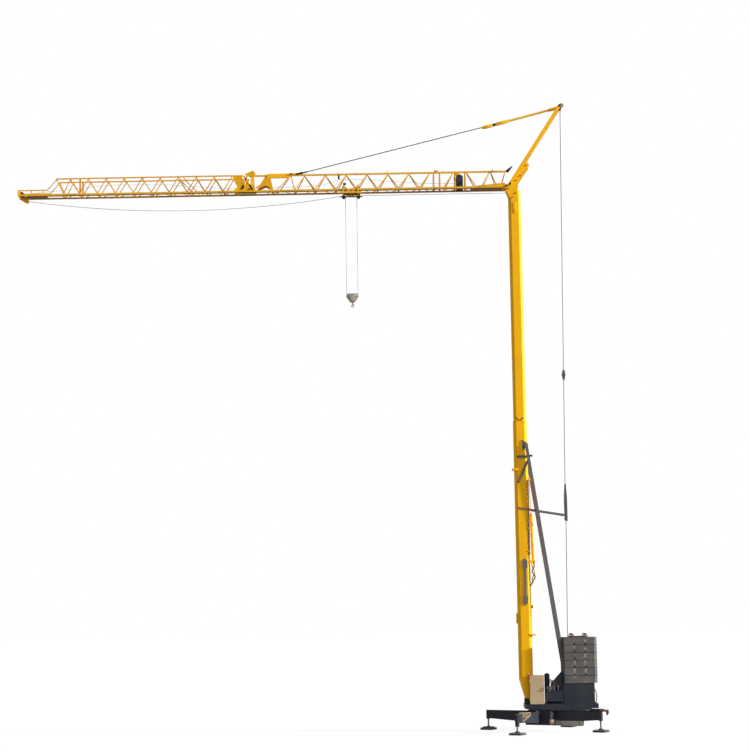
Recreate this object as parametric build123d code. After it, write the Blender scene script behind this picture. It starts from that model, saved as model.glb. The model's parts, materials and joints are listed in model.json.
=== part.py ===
"""Fast-erecting tower crane in its working state, in millimetres.

The origin is on the ground, on the slewing axis. +Z is up and the jib points along -X.
"""
import math
import os

from build123d import *

# Fits
running_gap = 0.3
pin_gap = 0.25
screw_gap = 0.5
travel_gap = 10.0

# Feet and screw jacks
foot_count = 4
foot_circle_radius = 2930.0
foot_angle = -28.75
pad_side = 600.0
pad_thickness = 70.0
pad_hub_radius = 110.0
pad_hub_height = 80.0
block_foot = 3
pad_block_side = 430.0
anchor_hole_radius = 13.0
anchor_hole_inset = 42.5
screw_radius = 40.0
screw_travel = 150.0
screw_collar_radius = 70.0
screw_collar_height = 40.0
sleeve_radius = 100.0
sleeve_bottom = 520.0
sleeve_cap = 20.0
long_sleeve_foot = 4
long_sleeve_bottom = 380.0

# Undercarriage
frame_side = 1300.0
frame_bottom = 310.0
frame_top = 950.0
frame_plate = 12.0
arm_width = 240.0
arm_plate = 8.0
arm_root_bottom = 400.0
arm_end_bottom = 560.0
arm_top = 940.0

# Slewing ring and platform
ring_bore_radius = 450.0
ring_radius = 600.0
ring_height = 60.0
platform_front = -900.0
platform_rear = 2570.0
platform_half_width = 700.0
platform_height = 220.0
platform_plate = 10.0
foot_bracket_front = -880.0
foot_bracket_plate = 25.0

# Counterweight
ballast_front = 950.0
ballast_box_rear = 2410.0
ballast_box_half_width = 640.0
ballast_box_height = 960.0
ballast_box_plate = 10.0
slab_count = 6
slab_rear = 2570.0
slab_half_width = 675.0
slab_height = 358.0
slab_chamfer = 130.0
strut_recess_depth = 280.0
strut_recess_half_width = 500.0
guy_notch_depth = 450.0
guy_notch_half_width = 80.0
pocket_offsets = (540.0, 1060.0)
pocket_width = 90.0
pocket_height = 110.0
pocket_depth = 60.0

# Machinery on the platform
cover_front = 90.0
cover_length = 820.0
cover_outer = -690.0
cover_inner = -480.0
cover_height = 560.0
cover_sheet = 4.0
winch_x = 640.0
winch_half_width = 380.0
winch_axle_height = 300.0
drum_radius = 170.0
drum_flange_radius = 230.0
drum_wall = 30.0
winch_plate = 25.0
winch_stand_half_length = 240.0
winch_stand_rise = 115.0
tank_x = 190.0
tank_y = -220.0
tank_radius = 125.0
tank_height = 1390.0
tank_wall = 6.0
cabinet_front = -650.0
cabinet_length = 660.0
cabinet_outer = -700.0
cabinet_inner = -400.0
cabinet_height = 1330.0
cabinet_sheet = 4.0
door_gap = 5.0
door_thickness = 20.0
door_sheet = 4.0
hinge_pin_radius = 8.0
hinge_knuckle_radius = 16.0
hinge_knuckle_length = 120.0
hinge_bracket_length = 40.0
hinge_offsets = (180.0, 1030.0)

# Tower
tower_x = -790.0
lower_width = 650.0
lower_chamfer = 130.0
lower_wall = 8.0
lower_length = 12330.0
upper_width = 600.0
upper_chamfer = 120.0
upper_wall = 6.0
upper_reach = 11470.0
upper_overlap = 1480.0
collar_overhang = 6.0
collar_height = 40.0
shoe_rise = 270.0
shoe_height = 890.0
shoe_toe = 395.0
shoe_plate = 10.0

# Erection gear. Places on the tower are measured from its centre line and from the top of its lower section.
link_thickness = 35.0
link_depth = 120.0
strut_thickness = 80.0
strut_depth = 150.0
strut_wall = 6.0
strut_top_place = (260.0, -1140.0)
strut_foot_setback = 90.0
strut_foot_height = 600.0
strut_bracket = [(-190.0, 260.0), (10.0, 140.0), (105.0, 0.0), (10.0, -140.0), (-190.0, -260.0)]
gusset_plate = 25.0
gusset_front = 410.0
gusset_front_height = 910.0
gusset_clearance = 45.0
gusset_seat = 200.0
gusset_top_length = 60.0
gusset_top_height = 680.0
upper_link_places = ((-180.0, -1700.0), (290.0, -1700.0))
lower_link_places = ((-170.0, -2940.0), (320.0, -1900.0))
stay_link_places = ((50.0, -8560.0), (65.0, -6880.0))
stay_plate_half_width = 120.0
stay_plate_half_height = 280.0
cylinder_foot_place = (490.0, -6690.0)
cylinder_top_place = (390.0, -2830.0)
cylinder_barrel_radius = 75.0
cylinder_barrel_length = 2260.0
cylinder_rod_radius = 25.0
cylinder_bracket_height = 140.0
cylinder_bracket_width = 160.0

# Guy and spreader
spreader_thickness = 30.0
spreader_depth = 80.0
spreader_place = (-250.0, -4160.0)
spreader_reach = 2290.0
spreader_drop = 380.0
guide_width = 155.0
guide_half_thickness = 15.0
guide_below = 290.0
guide_shoulder = 810.0
guide_above = 1500.0
guide_chamfer = 60.0
guy_radius = 17.0
guy_eye_place = 2290.0
guy_eye_length = 480.0
guy_eye_width = 190.0
guy_eye_half_thickness = 30.0
guy_anchor_setback = 265.0
guy_anchor_length = 140.0
guy_anchor_half_width = 40.0
guy_anchor_height = 150.0

# Tower head and tie strut. Places are measured from the middle of the top of the tower.
head_plate = 25.0
head_outline = [
    (-510.0, 270.0), (-230.0, -430.0), (-130.0, -470.0), (90.0, -160.0), (180.0, 120.0),
    (190.0, 390.0), (400.0, 690.0), (760.0, 1210.0), (670.0, 1400.0), (200.0, 870.0), (-210.0, 330.0),
]
tie_strut_foot_place = (-210.0, 310.0)
tie_strut_tip_place = (2310.0, 4190.0)
tie_strut_depth = 150.0
tie_strut_thickness = 70.0
tie_strut_wall = 6.0
tie_strut_overrun = 40.0
tie_strut_cross = 80.0
tie_strut_cross_places = (0.42, 0.78)
tip_bar = 100.0
strut_cap_outline = [
    (-50.0, 50.0), (-20.0, 130.0), (40.0, 190.0), (120.0, 130.0),
    (130.0, 0.0), (80.0, -230.0), (50.0, -230.0), (50.0, 50.0),
]
guy_top_place = (65.0, -230.0)
strut_cap_half_width = 70.0

# Tie
tie_bar_inset = 20.0
tie_bar_depth = 90.0
tie_bar_thickness = 30.0
tie_bar_run = 3720.0
tie_bar_drop = 930.0
tie_joint_length = 120.0
tie_joint_depth = 120.0
tie_rope_radius = 15.0
tie_rope_offset = 32.0
tie_rope_end_height = 30.0
tie_anchor_place = 11110.0
tie_anchor_length = 1100.0
tie_anchor_depth = 210.0
tie_anchor_rise = 45.0
tie_anchor_half_width = 60.0
tie_anchor_wall = 8.0
tie_lug_length = 480.0
tie_lug_half_width = 50.0
tie_lug_height = 65.0

# Jib. Places along it are measured from the tower's centre line.
jib_width = 840.0
jib_rise = 150.0
inner_depth = 860.0
outer_depth = 800.0
chord = 80.0
chord_wall = 5.0
lacing = 28.0
lacing_inset = 25.0
brace = 24.0
post_width = 80.0
jib_pin_place = (-400.0, 180.0)
jib_pin_radius = 35.0
jib_pin_overhang = 30.0
root_setback = 110.0
root_lug_reach = 190.0
root_lug_plate = 40.0
root_deep_place = 2190.0
root_depth = 160.0
root_plate = 30.0
top_chord_place = 390.0
single_bar_places = (
    (435.0, 660.0), (1140.0, 860.0), (1210.0, 1595.0), (2335.0, 1880.0), (3010.0, 3465.0),
    (10350.0, 10810.0), (11010.0, 10840.0), (11060.0, 11710.0),
)
regular_lacing_place = 4160.0
regular_lacing_end = 10350.0
inner_panels = 6
inner_posts = (2420.0, 2920.0, 3670.0, 3970.0)
floor_place = 710.0
floor_end_place = 12460.0
floor_panels = 12
rocker_plate = 14.0
rocker_outline = [
    (12295.0, 860.0), (12070.0, 860.0), (11900.0, 0.0), (11990.0, 0.0), (12090.0, 230.0),
    (12290.0, 310.0), (12750.0, 130.0), (12770.0, 200.0), (12510.0, 420.0),
]

# Fold between the inner and the outer jib
fold_place = 13210.0
fold_gap = 10.0
fold_plate = 12.0
fold_outline = [
    (-700.0, 830.0), (-170.0, 830.0), (-300.0, 330.0), (275.0, 370.0), (405.0, 165.0), (460.0, 50.0),
    (460.0, -40.0), (-700.0, -40.0), (-700.0, 40.0), (-430.0, 220.0), (-700.0, 770.0),
]
fold_floor = (-400.0, 460.0)
stub_place = 13110.0
fold_frame_place = 13030.0
fold_frame_length = 170.0
fold_frame_leg = 40.0
fold_bracket_plate = 12.0
fold_bracket_outline = [(-105.0, 100.0), (310.0, 275.0), (425.0, 105.0), (330.0, -38.0), (-30.0, 10.0)]

# Outer jib and nose
outer_chord = 60.0
outer_chord_wall = 4.0
outer_lead = 700.0
outer_regular_end = 21920.0
outer_panels = 9
outer_end_place = 22595.0
outer_floor_panels = 10
outer_post = 21440.0
nose_place = 23060.0
nose_end_place = 24460.0
nose_rail = 50.0
nose_height = 230.0
nose_post_places = (23270.0, 23850.0, 24430.0)
nose_beam = 60.0
nose_beam_wall = 6.0
dead_end_half_width = 40.0
dead_end_reach = 400.0
dead_end_outline = [
    (-60.0, 0.0), (330.0, 0.0), (400.0, -120.0), (400.0, -260.0),
    (330.0, -290.0), (200.0, -230.0), (-60.0, -60.0),
]

# Trolley winch inside the jib
jib_winch_place = 2690.0
jib_winch_length = 340.0
jib_winch_half_width = 190.0
jib_winch_plate = 20.0
jib_winch_height = 650.0
jib_winch_chamfer = 80.0
jib_winch_axle_height = 400.0
jib_winch_drum_radius = 150.0
jib_winch_drum_wall = 20.0
jib_winch_motor_reach = 60.0

# Trolley
trolley_place = 8060.0
trolley_half_length = 550.0
trolley_side_gap = 15.0
trolley_plate = 20.0
trolley_sill_drop = 200.0
trolley_sill_depth = 80.0
trolley_height = 400.0
trolley_post_offset = 360.0
trolley_post_width = 70.0
trolley_cross_depth = 70.0
wheel_radius = 70.0
wheel_width = 30.0
wheel_axle_radius = 20.0
hanger_half_gap = 25.0
hanger_plate = 15.0
hanger_half_length = 60.0
hanger_overlap = 40.0
trolley_sheave_radius = 80.0
trolley_sheave_half_width = 18.0
rope_radius = 7.0
hoist_run_drop = 230.0
fall_spacing = 560.0
slack_rope_sag = 600.0

# Hook block and hook
hook_fall = 4900.0
block_outline = [
    (-245.0, 0.0), (245.0, 0.0), (310.0, -155.0), (110.0, -445.0), (-110.0, -445.0), (-310.0, -155.0),
]
cheek_inner = 45.0
cheek_plate = 12.0
block_sheave_drop = 165.0
block_sheave_radius = 83.0
block_sheave_half_width = 20.0
block_axle_radius = 25.0
crosshead_half_length = 70.0
crosshead_height = 75.0
hook_shank_radius = 25.0
hook_nut_radius = 38.0
hook_nut_height = 40.0
hook_drop = 160.0
hook_outer_radius = 80.0
hook_inner_radius = 42.0
hook_thickness = 44.0
hook_mouth = 60.0

# Levels and places that follow from the sizes above
pad_top = pad_thickness + pad_hub_height
ring_seat = frame_top + ring_height
platform_bottom = ring_seat + running_gap + ring_height
deck = platform_bottom + platform_height
stack_bottom = deck + ballast_box_height
cover_rear = cover_front + cover_length
cabinet_rear = cabinet_front + cabinet_length
shoe_bottom = deck + shoe_rise
shoe_top = shoe_bottom + shoe_height
lower_top = shoe_top + lower_length
upper_bottom = lower_top - upper_overlap
upper_top = lower_top + upper_reach
tower_front = tower_x - lower_width / 2
tower_rear = tower_x + lower_width / 2
tower_side = lower_width / 2
strut_inner = tower_side + link_thickness
strut_outer = strut_inner + strut_thickness
strut_top = (tower_x + strut_top_place[0], lower_top + strut_top_place[1])
strut_foot = (ballast_front + strut_foot_setback, stack_bottom + strut_foot_height)
spreader_tip_x = tower_x + spreader_place[0] + spreader_reach
spreader_tip_z = lower_top + spreader_place[1] - spreader_drop
guide_bottom = spreader_tip_z - guide_below
guide_top = spreader_tip_z + guide_above
guide_x = spreader_tip_x + guide_width / 2
guy_anchor_x = ballast_front + guy_anchor_setback
head_side = upper_width / 2
head_outer = head_side + head_plate
tie_strut_tip = (tower_x + tie_strut_tip_place[0], upper_top + tie_strut_tip_place[1])
tie_strut_foot = (tower_x + tie_strut_foot_place[0], upper_top + tie_strut_foot_place[1])
guy_top = (tie_strut_tip[0] + guy_top_place[0], tie_strut_tip[1] + guy_top_place[1])
guy_eye_z = lower_top + guy_eye_place
tie_joint_x = tie_strut_tip[0] - tie_bar_run
tie_joint_z = tie_strut_tip[1] - tie_bar_drop
jib_pin = (tower_x + jib_pin_place[0], upper_top + jib_pin_place[1])
jib_bottom_z = upper_top + jib_rise
jib_top_z = jib_bottom_z + inner_depth
outer_top_z = jib_bottom_z + outer_depth
chord_y = jib_width / 2
chord_in = chord_y - chord / 2
chord_out = chord_y + chord / 2
rail_z = jib_bottom_z + chord / 2
keel_z = jib_bottom_z - chord / 2
top_underside = jib_top_z - chord / 2
outer_underside = outer_top_z - outer_chord / 2
lacing_y = chord_y - lacing_inset
chord_top = jib_top_z + chord / 2
inner_start = jib_pin[0] - root_setback
fold_x = tower_x - fold_place
outer_start = fold_x - outer_lead
outer_end = tower_x - outer_end_place
nose_start = tower_x - nose_place
nose_end = tower_x - nose_end_place
nose_rail_top = rail_z + nose_height
tie_anchor_start = tower_x - tie_anchor_place
tie_anchor_end = tie_anchor_start - tie_anchor_length
tie_anchor_z = (chord_top + tie_anchor_rise - tie_anchor_depth, chord_top + tie_anchor_rise)
tie_lug_x = tie_anchor_start + tie_lug_length
jib_winch_x = tower_x - jib_winch_place
trolley_x = tower_x - trolley_place
trolley_sill_bottom = jib_bottom_z - trolley_sill_drop
hoist_run_z = jib_bottom_z - hoist_run_drop
fall_offset = fall_spacing / 2
trolley_sheave_pitch = trolley_sheave_radius + rope_radius + running_gap
trolley_sheave_x = fall_offset + trolley_sheave_pitch
trolley_sheave_z = hoist_run_z - trolley_sheave_pitch
block_top = hoist_run_z - hook_fall
block_sheave_x = fall_offset - block_sheave_radius - rope_radius - running_gap
block_sheave_z = block_top - block_sheave_drop
block_bottom = block_top + min(z for _, z in block_outline)
hook_centre_z = block_bottom - hook_drop


def span_box(x, y, z):
    """A box between the two given values along each axis."""
    centre = [(a + b) / 2 for a, b in (x, y, z)]
    size = [abs(b - a) for a, b in (x, y, z)]
    return Pos(*centre) * Box(*size)


def both_sides(inner, outer):
    """The Y range of a piece on the near side and on the far side."""
    return ((-outer, -inner), (inner, outer))


def upright_plate(points, y):
    """A plate standing along X, with the outline points given as (x, z), across the Y range."""
    face = make_face(Polyline(*[(x, z) for x, z in points], close=True))
    return Pos(0, max(y), 0) * extrude(Plane.XZ * face, amount=abs(y[1] - y[0]))


def bar_outline(start, end, depth, overrun=0.0):
    """The corners of a straight bar with square ends, in the plane of its two end points."""
    along = Vector(end[0] - start[0], end[1] - start[1]).normalized()
    across = Vector(-along.Y, along.X) * (depth / 2)
    first = Vector(*start) - along * overrun
    last = Vector(*end) + along * overrun
    return [(p.X, p.Y) for p in (first - across, last - across, last + across, first + across)]


def slanted_outline(start, end, depth):
    """The corners of a sloping bar whose ends are cut upright."""
    half = depth / 2
    return [
        (start[0], start[1] - half), (end[0], end[1] - half),
        (end[0], end[1] + half), (start[0], start[1] + half),
    ]


def cross_cylinder(x, z, radius, y):
    """A cylinder lying along Y."""
    return Pos(x, (y[0] + y[1]) / 2, z) * Rot(90, 0, 0) * Cylinder(radius, abs(y[1] - y[0]))


def upright_cylinder(x, y, radius, z):
    """A cylinder standing along Z."""
    return Pos(x, y, (z[0] + z[1]) / 2) * Cylinder(radius, abs(z[1] - z[0]))


def square_tube(x, y, z, wall):
    """A square tube along X, open at both ends."""
    inside = span_box(x, (y[0] + wall, y[1] - wall), (z[0] + wall, z[1] - wall))
    return span_box(x, y, z) - inside


def round_bar(start, end, radius, low, high):
    """A round bar or rope in the plane Y = 0, cut level at the heights low and high."""
    first = Vector(start[0], 0, start[1])
    last = Vector(end[0], 0, end[1])
    along = (last - first).normalized()
    reach = (last - first).length + 4 * radius
    plane = Plane(origin=first - along * (2 * radius), z_dir=along)
    bar = extrude(plane * Circle(radius), amount=reach)
    side = 2 * radius
    slab = span_box((min(start[0], end[0]) - side, max(start[0], end[0]) + side), (-side, side), (low, high))
    return bar & slab


def zigzag(start, end, panels, first, second):
    """End points of the bars of a zigzag, from (start, first) to (end, first) by way of the second level."""
    pitch = (end - start) / panels
    bars = []
    for n in range(panels):
        left = start + n * pitch
        peak = left + pitch / 2
        bars.append(((left, first), (peak, second)))
        bars.append(((peak, second), (left + pitch, first)))
    return bars


def lattice_sketch(bars, width, overrun):
    """One flat outline of all the bars, joined where they meet."""
    sketch = Sketch()
    for start, end in bars:
        corners = bar_outline(start, end, width, overrun)
        sketch += make_face(Polyline(*corners, close=True))
    return sketch


def tower_section(width, chamfer):
    """The tower's outline in plan: a square with its corners cut off."""
    half = width / 2
    flat = half - chamfer
    corners = [
        (-half, -flat), (-flat, -half), (flat, -half), (half, -flat),
        (half, flat), (flat, half), (-flat, half), (-half, flat),
    ]
    return make_face(Polyline(*[(tower_x + x, y) for x, y in corners], close=True))


def tower_tube(width, chamfer, wall, bottom, top):
    """A folded-plate tower section, open at both ends."""
    inner_chamfer = chamfer - wall * (2 - math.sqrt(2))
    ring = tower_section(width, chamfer) - tower_section(width - 2 * wall, inner_chamfer)
    return Pos(0, 0, bottom) * extrude(ring, amount=top - bottom)


def tower_place(place):
    """A point beside the tower, from its distances to the centre line and to the top of the lower section."""
    return tower_x + place[0], lower_top + place[1]


def jib_x(place):
    """Where a place along the jib is, from its distance to the tower's centre line."""
    return tower_x - place


def around(piece, turn):
    """A piece drawn along +X, turned about the slewing axis."""
    return Rot(0, 0, turn) * piece


def foot_turns():
    """The directions of the feet."""
    return [foot_angle + n * 360.0 / foot_count for n in range(foot_count)]


# Undercarriage
def base_frame():
    half = frame_side / 2
    hollow = half - frame_plate
    box = span_box((-half, half), (-half, half), (frame_bottom, frame_top))
    box -= span_box(
        (-hollow, hollow), (-hollow, hollow), (frame_bottom + frame_plate, frame_top - frame_plate)
    )
    box -= upright_cylinder(0, 0, ring_bore_radius, (frame_top - 2 * frame_plate, frame_top))
    return around(box, foot_angle)


def arm_floor(radius):
    """Height of the underside of an outrigger arm at a distance from the slewing axis."""
    share = (radius - frame_side / 2) / (foot_circle_radius - frame_side / 2)
    return arm_root_bottom + share * (arm_end_bottom - arm_root_bottom)


def outrigger_arm(number, turn):
    root = frame_side / 2
    inside_end = foot_circle_radius - sleeve_radius - arm_plate
    half = arm_width / 2
    outline = [
        (root, arm_floor(root)), (foot_circle_radius, arm_floor(foot_circle_radius)),
        (foot_circle_radius, arm_top), (root, arm_top),
    ]
    hollow = [
        (root, arm_floor(root) + arm_plate), (inside_end, arm_floor(inside_end) + arm_plate),
        (inside_end, arm_top - arm_plate), (root, arm_top - arm_plate),
    ]
    low = long_sleeve_bottom if number == long_sleeve_foot else sleeve_bottom
    arm = upright_plate(outline, (-half, half))
    arm -= upright_plate(hollow, (-half + arm_plate, half - arm_plate))
    arm += upright_cylinder(foot_circle_radius, 0, sleeve_radius, (low, arm_top))
    bore = upright_cylinder(foot_circle_radius, 0, screw_radius + screw_gap, (0, arm_top - sleeve_cap))
    return around(arm - bore, turn)


def jack_screw(turn):
    top = arm_top - sleeve_cap - screw_travel - travel_gap
    screw = upright_cylinder(foot_circle_radius, 0, screw_radius, (pad_top, top))
    collar_top = pad_top + screw_collar_height
    screw += upright_cylinder(foot_circle_radius, 0, screw_collar_radius, (pad_top, collar_top))
    return around(screw, turn)


def foot_pad(number, turn):
    half = pad_side / 2
    block = pad_block_side / 2
    near, far = foot_circle_radius - half, foot_circle_radius + half
    pad = span_box((near, far), (-half, half), (0, pad_thickness))
    if number == block_foot:
        block_x = (foot_circle_radius - block, foot_circle_radius + block)
        pad += span_box(block_x, (-block, block), (pad_thickness, pad_top))
    else:
        pad += upright_cylinder(foot_circle_radius, 0, pad_hub_radius, (pad_thickness, pad_top))
    hole_x = far - anchor_hole_inset
    pad -= upright_cylinder(hole_x, 0, anchor_hole_radius, (-pad_thickness, 2 * pad_thickness))
    return around(pad, turn)


def slew_ring(bottom):
    ring = upright_cylinder(0, 0, ring_radius, (bottom, bottom + ring_height))
    return ring - upright_cylinder(0, 0, ring_bore_radius, (bottom - 1, bottom + ring_height + 1))


# Platform, counterweight and machinery
def slewing_platform():
    """The platform box, with the two plates that carry the tower's foot."""
    half = platform_half_width
    plate = platform_plate
    box = span_box((platform_front, platform_rear), (-half, half), (platform_bottom, deck))
    box -= span_box(
        (platform_front + plate, platform_rear - plate), (-half + plate, half - plate),
        (platform_bottom + plate, deck - plate),
    )
    box -= upright_cylinder(0, 0, ring_bore_radius, (platform_bottom - plate, platform_bottom + 2 * plate))
    for y in both_sides(tower_side - foot_bracket_plate, tower_side):
        box += span_box((foot_bracket_front, tower_rear), y, (deck, shoe_bottom))
    return box


def ballast_box():
    half = ballast_box_half_width
    plate = ballast_box_plate
    box = span_box((ballast_front, ballast_box_rear), (-half, half), (deck, stack_bottom))
    return box - span_box(
        (ballast_front + plate, ballast_box_rear - plate), (-half + plate, half - plate),
        (deck, stack_bottom - plate),
    )


def counterweight_slab(number):
    """One slab of the stack, counted from the bottom, with lifting pockets under all but the lowest."""
    bottom = stack_bottom + number * slab_height
    half = slab_half_width
    cut = slab_chamfer
    recess, notch = strut_recess_half_width, guy_notch_half_width
    recess_x, notch_x = ballast_front + strut_recess_depth, ballast_front + guy_notch_depth
    plan = [
        (ballast_front, -half), (slab_rear - cut, -half), (slab_rear, -half + cut),
        (slab_rear, half - cut), (slab_rear - cut, half), (ballast_front, half),
        (ballast_front, recess), (recess_x, recess), (recess_x, notch), (notch_x, notch),
        (notch_x, -notch), (recess_x, -notch), (recess_x, -recess), (ballast_front, -recess),
    ]
    slab = Pos(0, 0, bottom) * extrude(make_face(Polyline(*plan, close=True)), amount=slab_height)
    if number > 0:
        for offset in pocket_offsets:
            middle = ballast_front + offset
            pocket_x = (middle - pocket_width / 2, middle + pocket_width / 2)
            for y in both_sides(half - pocket_depth, half):
                slab -= span_box(pocket_x, y, (bottom, bottom + pocket_height))
    return slab


def winch_cover():
    sheet = cover_sheet
    box = span_box((cover_front, cover_rear), (cover_outer, cover_inner), (deck, deck + cover_height))
    return box - span_box(
        (cover_front + sheet, cover_rear - sheet), (cover_outer + sheet, cover_inner - sheet),
        (deck, deck + cover_height - sheet),
    )


def hoist_winch():
    axle = deck + winch_axle_height
    top = axle + winch_stand_rise
    x = (winch_x - winch_stand_half_length, winch_x + winch_stand_half_length)
    winch = cross_cylinder(winch_x, axle, drum_radius, (-winch_half_width, winch_half_width))
    for y in both_sides(winch_half_width - winch_plate, winch_half_width):
        winch += span_box(x, y, (deck, top))
    for y in both_sides(winch_half_width - 3 * winch_plate, winch_half_width - 2 * winch_plate):
        winch += cross_cylinder(winch_x, axle, drum_flange_radius, y)
    width = (-winch_half_width, winch_half_width)
    return winch - cross_cylinder(winch_x, axle, drum_radius - drum_wall, width)


def oil_tank():
    tank = upright_cylinder(tank_x, tank_y, tank_radius, (deck, deck + tank_height))
    inside = (deck, deck + tank_height - tank_wall)
    return tank - upright_cylinder(tank_x, tank_y, tank_radius - tank_wall, inside)


def door_hinge_axis():
    """Where the cabinet door turns, in plan."""
    return cabinet_front - hinge_knuckle_radius, cabinet_outer - door_gap - door_thickness / 2


def control_cabinet():
    sheet = cabinet_sheet
    top = deck + cabinet_height
    box = span_box((cabinet_front, cabinet_rear), (cabinet_outer, cabinet_inner), (deck, top))
    box -= span_box(
        (cabinet_front + sheet, cabinet_rear - sheet), (cabinet_outer, cabinet_inner - sheet),
        (deck + sheet, top - sheet),
    )
    hinge_x, hinge_y = door_hinge_axis()
    for offset in hinge_offsets:
        bottom = deck + offset
        seat = bottom - running_gap
        box += span_box(
            (hinge_x - hinge_knuckle_radius, cabinet_front + sheet),
            (hinge_y - hinge_knuckle_radius, cabinet_outer + hinge_bracket_length),
            (seat - hinge_bracket_length, seat),
        )
        box += upright_cylinder(hinge_x, hinge_y, hinge_pin_radius, (seat, bottom + hinge_knuckle_length))
    return box


def cabinet_door():
    """The door panel, cut back beside the hinge brackets, with its two knuckles."""
    hinge_x, hinge_y = door_hinge_axis()
    outer = cabinet_outer - door_gap - door_thickness
    top = deck + cabinet_height
    door = span_box((cabinet_front, cabinet_rear), (outer, cabinet_outer - door_gap), (deck + door_gap, top))
    rim = door_thickness
    door -= span_box(
        (cabinet_front + rim, cabinet_rear - rim), (outer + door_sheet, cabinet_outer),
        (deck + door_gap + rim, top - rim),
    )
    for offset in hinge_offsets:
        bottom = deck + offset
        height = (bottom, bottom + hinge_knuckle_length)
        low = bottom - hinge_bracket_length - door_gap
        door -= span_box((cabinet_front, cabinet_front + 2 * door_gap), (outer, cabinet_outer), (low, bottom))
        door += span_box((hinge_x, cabinet_front), (outer, cabinet_outer - door_gap), height)
        door += upright_cylinder(hinge_x, hinge_y, hinge_knuckle_radius, height)
        door -= upright_cylinder(hinge_x, hinge_y, hinge_pin_radius + pin_gap, height)
    return door


def strut_gussets():
    rear = ballast_front - gusset_clearance
    seat = ballast_front + gusset_seat
    top = stack_bottom + gusset_top_height
    outline = [
        (gusset_front, deck), (rear, deck), (rear, stack_bottom), (seat, stack_bottom), (seat, top),
        (seat - gusset_top_length, top), (gusset_front, deck + gusset_front_height),
    ]
    return [upright_plate(outline, y) for y in both_sides(strut_outer, strut_outer + gusset_plate)]


# Tower
def tower_shoe():
    toe = tower_rear - shoe_toe
    slope = shoe_plate * math.hypot(toe - tower_front, shoe_height) / shoe_height
    outline = [
        (toe, shoe_bottom), (tower_rear, shoe_bottom), (tower_rear, shoe_top), (tower_front, shoe_top),
    ]
    hollow = [
        (toe + slope, shoe_bottom), (tower_rear - shoe_plate, shoe_bottom),
        (tower_rear - shoe_plate, shoe_top - shoe_plate), (tower_front + slope, shoe_top - shoe_plate),
    ]
    shoe = upright_plate(outline, (-tower_side, tower_side))
    return shoe - upright_plate(hollow, (-tower_side + shoe_plate, tower_side - shoe_plate))


def lower_tower():
    return tower_tube(lower_width, lower_chamfer, lower_wall, shoe_top, lower_top)


def upper_tower():
    return tower_tube(upper_width, upper_chamfer, upper_wall, upper_bottom, upper_top)


def tower_collar():
    outside = tower_section(lower_width + 2 * collar_overhang, lower_chamfer)
    ring = outside - tower_section(upper_width, upper_chamfer)
    return Pos(0, 0, lower_top) * extrude(ring, amount=collar_height)


def box_bar(start, end, depth, wall, overrun, y):
    """A straight box-section bar, open at both ends, across the Y range."""
    outside = upright_plate(bar_outline(start, end, depth, overrun), y)
    hollow = bar_outline(start, end, depth - 2 * wall, overrun)
    return outside - upright_plate(hollow, (y[0] + wall, y[1] - wall))


def erection_struts():
    return [
        box_bar(strut_top, strut_foot, strut_depth, strut_wall, strut_depth / 2, y)
        for y in both_sides(strut_inner, strut_outer)
    ]


def strut_links():
    """Brackets and links between the tower's sides and the struts, and the stay link below them."""
    bracket = [(strut_top[0] + x, strut_top[1] + z) for x, z in strut_bracket]
    upper = [tower_place(place) for place in upper_link_places]
    lower = [tower_place(place) for place in lower_link_places]
    links = []
    for y in both_sides(tower_side, strut_inner):
        links.append(upright_plate(bracket, y))
        links.append(upright_plate(bar_outline(*upper, link_depth), y))
        links.append(upright_plate(bar_outline(*lower, link_depth), y))
    near = (-strut_inner, -tower_side)
    ends = [tower_place(place) for place in stay_link_places]
    wide, high = stay_plate_half_width, stay_plate_half_height
    stay = upright_plate(bar_outline(*ends, link_depth), near)
    for x, z in ends:
        hexagon = [
            (x, z + high), (x + wide, z + high - wide), (x + wide, z - high + wide),
            (x, z - high), (x - wide, z - high + wide), (x - wide, z + high - wide),
        ]
        stay += upright_plate(hexagon, near)
    return links + [stay]


def erection_cylinder():
    """The raising cylinder on the tower's back, with the brackets that hold it."""
    foot = tower_place(cylinder_foot_place)
    top = tower_place(cylinder_top_place)
    half = cylinder_bracket_width / 2
    middle = foot[1] + cylinder_barrel_length
    cylinder = round_bar(foot, top, cylinder_barrel_radius, foot[1], middle)
    cylinder += round_bar(foot, top, cylinder_rod_radius, middle, top[1])
    for x, bottom in ((foot[0], foot[1] - cylinder_bracket_height), top):
        height = (bottom, bottom + cylinder_bracket_height)
        cylinder += span_box((tower_rear, x + half), (-half, half), height)
    return cylinder


# Guy and spreader
def guy_spreader():
    start = tower_place(spreader_place)
    end = (spreader_tip_x, spreader_tip_z)
    outer = tower_side + spreader_thickness
    frame = span_box(
        (spreader_tip_x - spreader_depth, spreader_tip_x), (-outer, outer),
        (spreader_tip_z - spreader_depth / 2, spreader_tip_z + spreader_depth / 2),
    )
    for y in both_sides(tower_side, outer):
        frame += upright_plate(slanted_outline(start, end, spreader_depth), y)
    return frame


def guy_line_x(z):
    """Where the guy runs above the spreader, at a height."""
    share = (z - guide_top) / (guy_top[1] - guide_top)
    return guide_x + share * (guy_top[0] - guide_x)


def guy_rope():
    eye_low = guy_eye_z - guy_eye_length / 2
    eye_high = guy_eye_z + guy_eye_length / 2
    guide = (guide_x, guide_top)
    anchor_top = stack_bottom + guy_anchor_height
    return [
        round_bar(guide, guy_top, guy_radius, eye_high, guy_top[1]),
        round_bar(guide, guy_top, guy_radius, guide_top, eye_low),
        round_bar((guy_anchor_x, anchor_top), (guide_x, guide_bottom), guy_radius, anchor_top, guide_bottom),
    ]


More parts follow.
